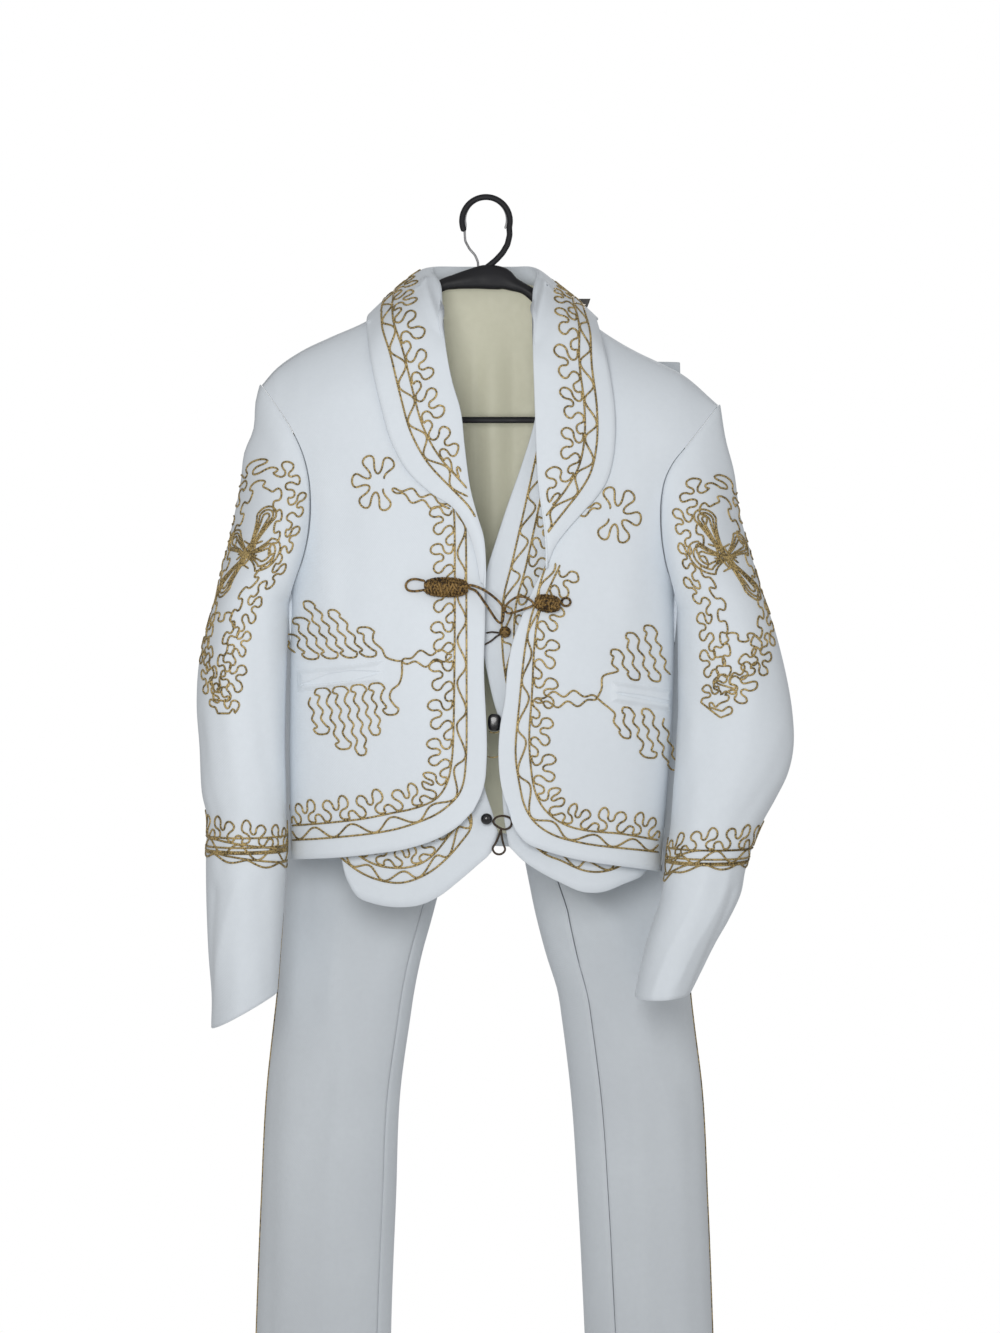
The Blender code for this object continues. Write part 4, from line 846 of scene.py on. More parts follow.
# trousers: v, outer and inner u of the left leg, outer and inner u of the right leg, half depth
legs = [
    (363, 300, 488, 680, 488, 0.012), (403, 297, 488, 681, 488, 0.014), (450, 293, 488, 684, 488, 0.024),
    (520, 288, 488, 688, 488, 0.036), (590, 285, 488, 691, 488, 0.043), (648, 283, 487, 692, 489, 0.046),
    (720, 283, 474, 691, 500, 0.047), (800, 284, 458, 689, 513, 0.048), (862, 285, 446, 688, 525, 0.048),
    (918, 283.5, 432, 687, 536.5, 0.048), (954, 281, 422, 688, 546, 0.048), (993, 278, 414, 690, 558, 0.048),
    (1020, 275, 410, 693, 562, 0.048), (1085, 268, 401, 701, 570, 0.048), (1200, 262, 396, 707, 578, 0.048),
    (1300, 258, 392, 711, 583, 0.047), (1390, 255, 390, 714, 587, 0.046),
]
trouser = {"wall": 0.0015, "crotch": 648.0, "band": 403.0, "clips": (404.0, 578.0), "cols": 44, "legRows": 84}
inseamTurn = np.array([(648, 180, 180), (760, 166, 150), (905, 147, 125), (1400, 144, 122)], float)
legFolds = {
    "left": [(60, 880, 100, 1080, 14, 2.5), (120, 900, 70, 1180, 12, -2.2), (40, 960, 55, 1300, 16, 2.0),
             (250, 700, 265, 1100, 18, 3.0), (300, 640, 290, 980, 15, -2.5), (220, 560, 240, 900, 15, 2.0)],
    "right": [(130, 870, 75, 950, 12, 2.8), (140, 930, 85, 1010, 12, -2.8), (130, 985, 70, 1050, 12, 2.6),
              (95, 900, 60, 1120, 14, 2.0), (65, 1000, 75, 1330, 15, -2.0), (250, 720, 235, 1100, 18, 3.0),
              (290, 600, 285, 950, 15, -2.5)],
}
legExtra = {
    "left": [(75, 870, 80, 1000, 8, 2.6, 1), (98, 1000, 92, 1370, 9, 2.2), (30, 1080, 40, 1380, 8, -1.6)],
    "right": [(110, 890, 60, 935, 8, 2.8, 1), (125, 960, 70, 1020, 8, 2.6, 1),
              (110, 1030, 60, 1085, 8, 2.4, 1),
              (92, 1080, 96, 1380, 10, 2.2), (40, 1090, 45, 1380, 9, -1.6)],
}


def trouserPoints(side, v, share, face):
    v, share = np.broadcast_arrays(np.asarray(v, float), np.asarray(share, float))
    keys = (1, 2) if side == "left" else (3, 4)
    outer, inner = column(legs, keys[0], v), column(legs, keys[1], v)
    shape = np.radians(90 + 90 * smooth((v - 560) / (trouser["crotch"] - 560)) ** 1.4)
    seam = np.radians(np.interp(v, inseamTurn[:, 0], inseamTurn[:, 1 if side == "left" else 2]))
    below = v > trouser["crotch"]
    end = np.where(below, seam if face == "front" else 2 * math.pi - seam, shape)
    turn = share * end
    u = outer + (inner - outer) * (1 - np.cos(turn)) / (1 - np.cos(np.where(below, math.pi, shape)))
    depth = column(legs, 5, v)
    flat = 0.0115 - 0.0078 * sum(np.exp(-(((u - c) / 34) ** 6)) for c in trouser["clips"])
    depth = flat + (depth - flat) * smooth((v - trouser["band"] + 10) / 110)
    sine = np.sin(turn)
    reach = np.sign(sine) * np.abs(sine) ** (0.62 + 0.38 * smooth((v - trouser["band"]) / 160))
    sign = -1 if face == "front" else 1
    degrees = np.degrees(turn) if face == "front" else 360 - np.degrees(turn)
    lift = foldHeight(degrees, v, legFolds[side] + legExtra[side]) * smooth((v - 520) / 120)
    lift = lift + slackness(degrees + 30 * sign, v, 0.0007) * smooth((v - 480) / 120)
    return u, v, trouserY + sign * (depth * reach + lift * np.abs(sine) * np.sign(reach))


def trouserPlace(side, v, share, face):
    u, v, y = trouserPoints(side, v, 0.004 + share * 0.992, face)
    inward = -1 if side == "left" else 1
    u = u + inward * smooth((trouser["crotch"] + 30 - v) / 60) * share**8 * 0.4
    y = y + (-1 if face == "front" else 1) * seamGap * smooth(np.cos(share * math.pi) * 2.5)
    return place(u, v, y, trouserY)


def trouserPanel(side, face):
    upper = np.linspace(trouser["band"] + 0.1, trouser["crotch"], 34)
    lower = np.linspace(trouser["crotch"], 1390, trouser["legRows"])[1:]
    return trouserPlace(side, np.concatenate([upper, lower])[:, None],
                        np.linspace(0, 1, trouser["cols"])[None, :],
                        face)


for side, face, flip in (("left", "front", False), ("right", "front", True), ("left", "back", True),
                         ("right", "back", False)):
    clothPiece(f"trousers_{face}_{side}_cloth", trouserPanel(side, face), trouser["wall"], trouserTwillPaintedShade,
               f"trousers_{face}_{side}", flip=flip, seam=trouserY)


def waistbandGrid():
    v = np.linspace(363, 402.6, 18)[:, None]
    share = np.linspace(0, 1, 64)
    parts = []
    for side, face, run in (("left", "front", share), ("right", "front", share[-2::-1]),
                            ("right", "back", share[1:]), ("left", "back", share[-2:0:-1])):
        u, vv, y = trouserPoints(side, v, run[None, :], face)
        parts.append(place(u, vv, y, trouserY))
    return np.concatenate(parts, axis=1)


clothPiece("trousers_waistband_cloth", waistbandGrid(), trouser["wall"], trouserTwillPaintedShade, "trousers_waistband",
           ring=True)
print("trousers made")

# hangers
hanger = {
    "stations": [
        (486, 277, 12.3, 7.5), (470, 279, 10, 7.5), (455, 281.8, 7.6, 7), (442, 285.4, 6, 6),
        (430, 296, 5.4, 5.2),
        (418, 306, 8, 4.6), (390, 326, 8.2, 4.8), (365, 341, 8, 5), (330, 358, 7.5, 5), (302, 372, 7, 5),
        (290, 384, 6.5, 5), (290, 398, 5.5, 4.5), (300, 411, 4, 4), (322, 418, 3.2, 3.2),
        (380, 420, 3.2, 3.2),
        (440, 420, 3.2, 3.2), (500, 420, 3.2, 3.2), (560, 420, 3.2, 3.2), (640, 420, 3.2, 3.2),
        (668, 419, 4, 4),
        (682, 411, 5.5, 4.5), (683, 400, 6.5, 5), (668, 389, 7, 5), (640, 376.5, 7.5, 5), (594, 345, 8, 5),
        (567, 322.5, 8.2, 4.8), (550, 309.5, 8.2, 4.6), (538, 299, 6.4, 5.2), (525, 289.4, 5.4, 6),
        (513, 284, 7.4, 7), (502, 278.6, 11.4, 7.5),
    ],
    "sides": 26, "steps": 9, "ridge": 0.0009,
}


def closedSmooth(rows, steps):
    rows = np.asarray(rows, float)
    count = len(rows)
    found = []
    for i in range(count):
        a, b, c, d = rows[i - 1], rows[i], rows[(i + 1) % count], rows[(i + 2) % count]
        for t in np.arange(steps) / steps:
            found.append(0.5 * (2 * b + (c - a) * t + (2 * a - 5 * b + 4 * c - d) * t**2
                                + (3 * b - a - 3 * c + d) * t**3))
    return np.array(found)


def hangerMesh(part):
    rows = closedSmooth(part["stations"], part["steps"])
    count, sides = len(rows), part["sides"]
    run = np.roll(rows[:, :2], -1, axis=0) - np.roll(rows[:, :2], 1, axis=0)
    run = run / np.linalg.norm(run, axis=1, keepdims=True)
    turn = 2 * math.pi * (np.arange(sides) + 0.5) / sides
    squareCos = np.sign(np.cos(turn)) * np.abs(np.cos(turn)) ** 0.8
    squareSin = np.sign(np.sin(turn)) * np.abs(np.sin(turn)) ** 0.8
    tall = rows[:, 2:3] * squareCos[None, :]
    u = rows[:, 0:1] - run[:, 1:2] * tall
    v = rows[:, 1:2] + run[:, 0:1] * tall
    # a raised line runs along the middle of the arms, on both faces
    ridge = np.exp(-((squareCos / 0.16) ** 2))[None, :] * np.sign(squareSin)[None, :] * part["ridge"]
    ridge = ridge * smooth((rows[:, 2:3] - 3.4) / 2)
    verts = place(u, v, rows[:, 3:4] / 1000 * squareSin[None, :] * 0.96 + ridge).reshape(-1, 3)
    grid = np.arange(count * sides).reshape(count, sides)
    wrap = np.concatenate([grid, grid[:, :1]], axis=1)
    wrap = np.concatenate([wrap, wrap[:1]], axis=0)
    quads = np.stack([wrap[:-1, :-1], wrap[:-1, 1:], wrap[1:, 1:], wrap[1:, :-1]], axis=-1).reshape(-1, 4)
    return verts, quads


finish("hanger_frame_black", *hangerMesh(hanger), plastic, "hanger_body")


def hookLine(stem, radius, thickness, mirror, count=60):
    points = [np.array(p, float) for p in stem]
    centre = np.array([sheet["hookU"], sheet["hookV"] + radius - thickness])
    for degrees in np.linspace(-15, 205, count):
        a = math.radians(degrees)
        points.append(centre + radius * np.array([math.cos(a) * mirror, -math.sin(a)]))
    return points


def evenly(points, step, closed=False):
    points = np.asarray(points, float)
    if closed:
        points = np.concatenate([points, points[:1]])
    gaps = np.concatenate([[0], np.cumsum(np.linalg.norm(np.diff(points, axis=0), axis=1))])
    count = max(3, int(round(gaps[-1] / step)) + 1)
    at = np.linspace(0, gaps[-1], count)[: -1 if closed else None]
    return np.stack([np.interp(at, gaps, points[:, k]) for k in range(points.shape[1])], axis=1)


def rounded(points, passes=2, closed=False):
    # softens the corners of a line of points, keeping its ends
    points = np.asarray(points, float)
    for _ in range(passes):
        if closed:
            points = (np.roll(points, 1, axis=0) + 2 * points + np.roll(points, -1, axis=0)) / 4
        else:
            inner = (points[:-2] + 2 * points[1:-1] + points[2:]) / 4
            points = np.concatenate([points[:1], inner, points[-1:]])
    return points


def roundCord(name, points, radius, material, node, closed=False, step=0.0012, slot=None, sides=10,
              radii=None):
    line = evenly(points, step, closed)
    line = rounded(line, 2, closed)
    up = np.tile([0.0, -1.0, 0.0], (len(line), 1))
    verts, faces = tubeMesh([(line, up, closed)], radius * 2, radius * 2, 0.0, sides)
    return finish(name, verts, faces, material, node, slot)


blackHook = [place(p[0], p[1], 0) for p in hookLine([(484, 269.5), (490, 265), (496, 260), (502.5, 253),
                                                     (507.5, 244.5), (509.7, 235)],
                                                    24, 3, 1)]
roundCord("hanger_hook_black", blackHook, 0.003, plastic, "hanger_hook", sides=16)
wireHook = [place(p[0], p[1], trouserY) for p in hookLine([(480, 317.6), (479, 290), (478, 262), (475, 255),
                                                           (469.5, 249), (465.2, 241), (464.6, 232)], 21,
                                                           1.3, -1)]
roundCord("clip_hanger_hook_wire", wireHook, 0.0013, steel, "clip_hanger_hook")
roundCord("clip_hanger_bar_wire", [place(u, 320.5, trouserY) for u in np.linspace(397, 585, 60)], 0.0022,
          steel,
          "clip_hanger_bar")


def clipMesh(u):
    # each plate: depth (m), v and half width (mm) round its outline
    half = [(0.0004, 311.4, 7.5), (0.0042, 311, 7.5), (0.0112, 299.2, 12.2), (0.0118, 298.7, 12.5),
            (0.0129, 298.7, 12.5), (0.0133, 299.3, 12.3), (0.0117, 303, 11.0), (0.0084, 312, 7.5),
            (0.0076, 322, 7.2), (0.0073, 331, 7.6), (0.0072, 340, 10.5), (0.0078, 352, 12.5),
            (0.0094, 366, 12.5),
            (0.0095, 374, 12.5), (0.0088, 377, 12.3), (0.0076, 377, 12.3), (0.0056, 374, 12.5),
            (0.0040, 370, 12.5), (0.0040, 360, 12.5), (0.0004, 356, 12.5)]
    verts, faces = [], []
    n = len(half)
    for sign in (-1, 1):
        for share in (-1, -0.94, 0.94, 1):
            for y, v, w in half:
                grow = 0.0003 if abs(share) < 1 and y > 0.005 else 0.0
                verts.append(place(u + share * w, v, trouserY + sign * (y + grow)))
    for block in (0, 1):
        base = block * 4 * n
        for k in range(3):
            for i in range(n):
                j = (i + 1) % n
                quad = (base + k * n + i, base + k * n + j, base + (k + 1) * n + j, base + (k + 1) * n + i)
                faces.append(quad if block == 0 else quad[::-1])
        for cap in (base, base + 3 * n):
            ring = tuple(range(cap, cap + n))
            faces.append(ring if (cap == base) != (block == 0) else ring[::-1])
    return verts, faces


for side, u in (("left", trouser["clips"][0]), ("right", trouser["clips"][1])):
    finish(f"clip_{side}_metal", *clipMesh(u), clipMetal, f"clip_{side}", smoothFaces=False)
print("hangers made")

# couched cord: paths are drawn as (s, n), the way along a base line and the way off it
# one repeat of the looped border: share of its length, share of its height
lobeKeys = [(0.133, 0.07), (0.24, 0.166), (0.25, 0.332), (0.167, 0.458), (0.067, 0.506), (0.007, 0.636),
            (0.017, 0.83), (0.10, 0.98), (0.20, 1.0), (0.274, 0.83), (0.267, 0.609), (0.333, 0.47),
            (0.429, 0.526),
            (0.467, 0.72), (0.55, 0.858), (0.667, 0.87), (0.752, 0.72), (0.719, 0.553), (0.619, 0.443),
            (0.54, 0.304), (0.54, 0.15), (0.619, 0.051), (0.719, 0.083), (0.802, 0.249), (0.886, 0.36),
            (1.0, 0.332), (1.03, 0.194), (1.0, 0.083)]


def catmull(points, steps=5, closed=False):
    points = np.asarray(points, float)
    if not closed:
        points = np.concatenate([2 * points[:1] - points[1:2], points, 2 * points[-1:] - points[-2:-1]])
        spans = range(1, len(points) - 2)
    else:
        spans = range(len(points))
    count = len(points)
    found = []
    for i in spans:
        a, b, c, d = points[(i - 1) % count], points[i], points[(i + 1) % count], points[(i + 2) % count]
        for t in np.arange(steps) / steps:
            found.append(0.5 * (2 * b + (c - a) * t + (2 * a - 5 * b + 4 * c - d) * t**2
                                + (3 * b - a - 3 * c + d) * t**3))
    if not closed:
        found.append(points[-2])
    return np.array(found)


def vermicelli(length, repeat, height, start=0.0, uneven=0.06):
    # paired loops with a small one between the pairs
    keys = []
    count = max(1, int(round((length - start) / repeat)))
    wide = (length - start) / count
    for k in range(count):
        tall = height * (1 + uneven * dice.uniform(-1, 1))
        sway = uneven * dice.uniform(-0.5, 0.5, len(lobeKeys))
        for (x, n), move in zip(lobeKeys, sway):
            keys.append((start + (k + x + move * 0.25) * wide, n * tall))
    return catmull(keys, 4)


def meander(length, repeat, height, bulb=0.18, start=0.0):
    t = np.linspace(0, 1, max(8, int(length / 1.2)))
    turns = round((length - start) / repeat)
    s = start + (length - start) * t - bulb * repeat * np.sin(4 * math.pi * turns * t)
    return np.stack([s, height * np.sin(2 * math.pi * turns * t)], axis=1)


def wave(length, period, height, phase=0.0):
    s = np.arange(0, length, 1.2)
    return np.stack([s, height * np.sin(2 * math.pi * s / period + phase)], axis=1)


class SheetSurface:
    # points of a height sheet, and the way out of the cloth there
    def __init__(self, depthOf, front=True):
        self.depthOf, self.front = depthOf, front

    def at(self, uv):
        u, v = uv[:, 0], uv[:, 1]
        spot = place(u, v, self.depthOf(u, v))
        du = place(u + 0.6, v, self.depthOf(u + 0.6, v)) - place(u - 0.6, v, self.depthOf(u - 0.6, v))
        dv = place(u, v + 0.6, self.depthOf(u, v + 0.6)) - place(u, v - 0.6, self.depthOf(u, v - 0.6))
        out = np.cross(dv, du) if self.front else np.cross(du, dv)
        return spot, out / np.linalg.norm(out, axis=1, keepdims=True)


class SleeveSurface:
    # places (degrees of turn, v) on a sleeve
    def __init__(self, part):
        self.part = part

    def at(self, turnV):
        grid, normal, vGrid = self.part["grid"], self.part["normal"], self.part["v"]
        cols = grid.shape[1]
        rows = np.arange(len(vGrid))
        spots, outs = [], []
        for degrees, v in turnV:
            c = (degrees % 360) / 360 * cols
            j, w = int(c) % cols, c - int(c)
            k = (j + 1) % cols
            line = vGrid[:, j] * (1 - w) + vGrid[:, k] * w
            r = np.interp(v, line, rows)
            i = min(int(r), len(rows) - 2)
            f = r - i
            for source, keep in ((grid, spots), (normal, outs)):
                low = source[i, j] * (1 - w) + source[i, k] * w
                high = source[i + 1, j] * (1 - w) + source[i + 1, k] * w
                keep.append(low * (1 - f) + high * f)
        outs = np.array(outs)
        return np.array(spots), outs / np.linalg.norm(outs, axis=1, keepdims=True)


class CollarSurface:
    # places (mm along the outer edge, mm in from it) on the collar
    def __init__(self):
        grid = collar["grid"]
        self.edge = np.concatenate([[0], np.cumsum(np.linalg.norm(np.diff(grid[:, -8], axis=0),
                                                                  axis=1))]) * 1000
        steps = np.linalg.norm(np.diff(grid[:, ::-1], axis=1), axis=2)
        self.inward = np.concatenate([np.zeros((len(grid), 1)), np.cumsum(steps, axis=1)], axis=1) * 1000
        self.width = self.inward[:, -3]

    def at(self, sd):
        grid, normal = collar["grid"][:, ::-1], collar["normal"][:, ::-1]
        cols = np.arange(grid.shape[1])
        spots, outs = [], []
        for s, d in sd:
            r = np.interp(s, self.edge, np.arange(len(self.edge)))
            i = min(int(r), len(self.edge) - 2)
            f = r - i
            line = self.inward[i] * (1 - f) + self.inward[i + 1] * f
            c = np.interp(d, line, cols)
            j = min(int(c), len(cols) - 2)
            w = c - j
            for source, keep in ((grid, spots), (normal, outs)):
                low = source[i, j] * (1 - w) + source[i, j + 1] * w
                high = source[i + 1, j] * (1 - w) + source[i + 1, j + 1] * w
                keep.append(low * (1 - f) + high * f)
        outs = np.array(outs)
        return np.array(spots), outs / np.linalg.norm(outs, axis=1, keepdims=True)


class BaseLine:
    # a line on a surface, measured along the cloth, with its own side direction on the sheet
    def __init__(self, surface, points, side=1, soften=12):
        line = evenly(catmull(points, 8), 1.5)
        self.line = rounded(line, soften)
        self.surface = surface
        spot, _ = surface.at(self.line)
        self.s = np.concatenate([[0], np.cumsum(np.linalg.norm(np.diff(spot, axis=0), axis=1))]) * 1000
        run = np.gradient(self.line, axis=0)
        run = rounded(run / np.linalg.norm(run, axis=1, keepdims=True), 10)
        run = run / np.linalg.norm(run, axis=1, keepdims=True)
        self.side = np.stack([-run[:, 1], run[:, 0]], axis=1) * side
        self.length = self.s[-1]

    def uv(self, sn):
        s, n = sn[:, 0], sn[:, 1]
        at = [np.interp(s, self.s, self.line[:, k]) for k in (0, 1)]
        off = [np.interp(s, self.s, self.side[:, k]) for k in (0, 1)]
        return np.stack([at[0] + off[0] * n, at[1] + off[1] * n], axis=1)


cordStyle = {"width": 0.0021, "height": 0.0017, "lift": 0.0004, "step": 1.4}


def laidCord(surface, uv, closed=False, perMm=1.0):
    line = evenly(uv, cordStyle["step"] * perMm, closed)
    spot, out = surface.at(line)
    return spot, out, closed


def sewOn(name, runs, material, slot, width=None):
    wide = width or cordStyle["width"]
    verts, faces = tubeMesh(runs, wide, cordStyle["height"] * wide / cordStyle["width"], cordStyle["lift"], 6)
    mesh = finish(name, verts, faces, material, (), slot)
    return mesh


def border(surface, outer, inner, side, waveLength=38, repeat=38, height=25, start=0.0, taper=None):
    # two couched lines, a waving cord between them, and paired loops inside
    runs = []
    a, b = BaseLine(surface, outer, side), BaseLine(surface, inner, side)
    runs.append(laidCord(surface, a.line))
    runs.append(laidCord(surface, b.line))
    t = np.linspace(0, 1, int(b.length / 1.2))
    share = 0.40 + 0.36 * np.sin(2 * math.pi * t * round(b.length / waveLength) + 0.6)
    first = a.uv(np.stack([t * a.length, np.zeros_like(t)], axis=1))
    second = b.uv(np.stack([t * b.length, np.zeros_like(t)], axis=1))
    runs.append(laidCord(surface, first * (1 - share[:, None]) + second * share[:, None]))
    loops = vermicelli(b.length, repeat, height, start)
    if taper is not None:
        loops[:, 1] *= np.interp(loops[:, 0], taper[0], taper[1])
    runs.append(laidCord(surface, b.uv(loops)))
    return runs


frontSurface, backSurface = SheetSurface(frontY), SheetSurface(backY, False)
vestSurface = SheetSurface(vestFrontY)

borders = {
    "leftOuter": [(464, 500), (465.5, 522), (466.2, 560), (466.4, 620), (466.6, 690), (466.6, 740),
                  (465.9, 760),
                  (464, 780), (458.5, 795), (446, 807.5), (433, 816), (413, 824), (392, 830), (364, 834.5),
                  (322, 838.4), (300, 839.6), (292.6, 840)],
    "leftInner": [(453, 505), (454.5, 522), (454.8, 560), (454.8, 620), (454.2, 690), (453.2, 740),
                  (451.8, 760),
                  (449, 777), (443, 791), (433, 801), (413.5, 808.6), (392, 813), (364, 818.6), (336, 822),
                  (308, 824.4), (292.6, 825.4)],
    "rightOuter": [(548, 560), (541, 580), (536, 601), (530.5, 619), (526, 642), (523.5, 660), (521.5, 680),
                   (519.6, 701), (517, 727), (515.6, 745), (516.2, 764), (520, 787), (523.5, 803),
                   (530, 816.5),
                   (540, 827), (555, 835.7), (574, 841.2), (594, 845), (614, 847.3), (641, 850), (658, 852)],
    "rightInner": [(560, 565), (552, 582), (544, 600), (537.5, 619), (534.6, 642), (533.4, 660), (532.6, 680),
                   (531.5, 701), (529.5, 727), (529.3, 745), (530.5, 764), (533, 783), (537, 797), (544, 809),
                   (555, 819), (568, 826), (583, 830), (600, 832), (620, 833.5), (641, 837), (658, 840)],
}
leftBorder = border(frontSurface, borders["leftOuter"], borders["leftInner"], 1, 40, 39.5, 25)
rightBorder = border(frontSurface, borders["rightOuter"], borders["rightInner"], -1, 42, 38.5, 24)


def linkLines(surface, start, end, gap, amplitude=3.2, period=21.0):
    # a pair of wiggling cords that ties a motif to the border
    start, end = np.array(start, float), np.array(end, float)
    runs = []
    run = (end - start) / np.linalg.norm(end - start)
    off = np.array([-run[1], run[0]])
    for side in (-1, 1):
        length = np.linalg.norm(end - start)
        s = np.arange(0, length, 1.2)
        spread = np.sin(np.clip(s / length, 0, 1) * math.pi) ** 0.6
        n = side * gap * spread + amplitude * np.sin(2 * math.pi * s / period + side) * spread
        runs.append(laidCord(surface, start + s[:, None] * run + n[:, None] * off))
    return runs


def rosette(surface, centre, radius, tall, lobes, opening, turn=0.0, stretch=1.0):
    # a ring of single loops round a centre, left open on one side where the ties come in
    steps = np.linspace(0, 1, 60 * lobes)
    arc = 2 * math.pi - math.radians(opening)
    angle = turn + math.radians(opening) / 2 + arc * steps
    swing = np.cos(2 * math.pi * lobes * steps)
    angle = angle + 0.115 * arc / lobes * np.sin(4 * math.pi * lobes * steps)
    reach = radius - tall * swing / 2
    uv = np.stack([centre[0] + reach * np.cos(angle), centre[1] + reach * np.sin(angle) * stretch], axis=1)
    return laidCord(surface, uv)


def strandMotif(surface, joint, via, foot, step, lean, count, peakAt, sizes):
    # one cord from the joint, to and fro in leaning strands that wave, with a round turn at each end
    joint, via, foot, step, lean = (np.array(p, float) for p in (joint, via, foot, step, lean))
    sway, reach = 1.9, 2.6
    lengths = np.interp(np.arange(count) // 2 * 2 + 0.5, (0, peakAt, count - 1), sizes)
    keys = [joint, (joint + via) / 2 + [1.5, 1.5], via]
    for k, length in enumerate(lengths):
        low = foot + k * step
        parts = max(2, int(length / 7))
        strand = [low + lean * length * i / parts + [sway * (-1) ** i, 0] for i in range(parts + 1)]
        outward = lean if k % 2 == 0 else -lean
        if k % 2:
            strand.reverse()
        keys += strand
        if k + 1 < count:
            after = low + step + lean * (lengths[k + 1] if k % 2 == 0 else 0)
            middle, half = (strand[-1] + after) / 2 + outward * reach, (after - strand[-1]) / 2
            keys += [middle - half * 1.45, middle - half * 0.8 + outward * reach * 2, middle + half * 0.8
                     + outward * reach * 2, middle + half * 1.45]
    return laidCord(surface, catmull(keys, 5))


chest = {"left": dict(centre=(377, 483), radius=16.5, tall=17, lobes=5, opening=62, turn=0.1, stretch=1.16),
         "right": dict(centre=(616, 515), radius=16.5, tall=17, lobes=5, opening=62, turn=3.3, stretch=1.16)}
leftChest = [rosette(frontSurface, **chest["left"])] + linkLines(frontSurface, (392, 489), (451, 508), 4.2)
rightChest = [rosette(frontSurface, **chest["right"])] + linkLines(frontSurface, (601, 506), (572, 512), 4.0)
# over and under each pocket: where the cord starts, what it passes, the strands' first foot, step,
# lean, number and longest one, and the first, longest and last lengths
pocketMotifs = {
    "left": [((402, 661), (386, 657), (380, 649), (-9.6, 0.4), (-0.5, -0.86), 10, 4, (12, 54, 8)),
             ((402, 661), (399, 684), (390, 690), (-9.0, 0.8), (0.22, 0.97), 10, 5, (12, 60, 26))],
    "right": [((597, 698), (603, 676), (616, 671), (10.4, 0.7), (-0.3, -0.95), 6, 4, (10, 48, 38)),
              ((597, 698), (609, 708), (613, 714), (9.8, 0.8), (0.3, 0.95), 6, 4, (12, 50, 44))],
}
leftPocket = linkLines(frontSurface, (402, 661), (453, 655), 5.5)
rightPocket = linkLines(frontSurface, (597, 698), (534, 700), 5.5)
leftPocket += [strandMotif(frontSurface, *motif) for motif in pocketMotifs["left"]]
rightPocket += [strandMotif(frontSurface, *motif) for motif in pocketMotifs["right"]]

sewOn("gold_cord_front_left", leftBorder + leftChest + leftPocket, gold, "jacket_front_left")
sewOn("gold_cord_front_right", rightBorder + rightChest + rightPocket, gold, "jacket_front_right")
print("cord on the fronts laid")

# the hem's border goes on round the back
hemLines = {"outer": [(u, v - 19) for u, v in backEdges["hem"]],
            "inner": [(u, v - 33) for u, v in backEdges["hem"]]}
hemLines = {key: [(293, line[0][1])] + line[1:-1] + [(659, line[-1][1] - 0.5)] for key,
            line in hemLines.items()}
backRuns = border(backSurface, hemLines["outer"], hemLines["inner"], -1, 39, 39, 24)
backRuns.append(rosette(backSurface, (486, 560), 26, 24, 8, 0.5, 0.0, 1.15))
backRuns.append(rosette(backSurface, (486, 560), 11, 9, 6, 0.5, 0.5, 1.1))
for sideSign in (-1, 1):
    backRuns += linkLines(backSurface, (486 + sideSign * 36, 560), (486 + sideSign * 80, 552), 4.5)
    backRuns.append(rosette(backSurface, (486 + sideSign * 95, 550), 13, 13, 5, 60,
                            0 if sideSign < 0 else math.pi))
sewOn("gold_cord_back", backRuns, gold, "jacket_back")

# the collar's border runs from break to break, round the back of the neck
collarSurface = CollarSurface()


def onCollar(sd):
    width = np.interp(sd[:, 0], collarSurface.edge, collarSurface.width)
    keep = sd[:, 1] < width - 3
    runs, start = [], None
    for k, good in enumerate(np.append(keep, False)):
        if good and start is None:
            start = k
        if not good and start is not None:
            if k - start > 8:
                line = evenly(sd[start:k], cordStyle["step"])
                spot, out = collarSurface.at(line)
                runs.append((spot, out, False))
            start = None
    return runs


collarLength = collarSurface.edge[-1]
collarBorder = {"outer": 22.0, "gap": 13.0, "repeat": 41.0, "height": 25.0, "wave": 37.0}
reach = np.arange(4, collarLength - 4, 1.2)
sideways = np.interp(reach, collarSurface.edge, np.linspace(0, 1, len(collarSurface.edge)))
edgeIn = np.interp(sideways, [0, 0.5, 1], [22, 20, 17])
widthAt = np.interp(reach, collarSurface.edge, collarSurface.width)
collarRuns = onCollar(np.stack([reach, edgeIn], axis=1))
collarRuns += onCollar(np.stack([reach, edgeIn + collarBorder["gap"]], axis=1))
swing = 0.5 + 0.44 * np.sin(2 * math.pi * reach / collarBorder["wave"])
collarRuns += onCollar(np.stack([reach, edgeIn + collarBorder["gap"] * swing], axis=1))
loops = vermicelli(collarLength - 10, collarBorder["repeat"], collarBorder["height"], 6)
base = np.interp(loops[:, 0], reach, edgeIn) + collarBorder["gap"]
room = np.interp(loops[:, 0], reach, rounded(widthAt, 20)) - base - 6
loops[:, 1] *= np.clip(room / collarBorder["height"], 0.0, 1.0)
loops[:, 1] += base
collarRuns += onCollar(loops[room > 7] if (room > 7).all() else loops[np.argmax(room > 7):
                                                                      len(room) - np.argmax(room[::-1] > 7)])
sewOn("gold_cord_collar", collarRuns, gold, "jacket_collar")
print("cord on the collar laid")

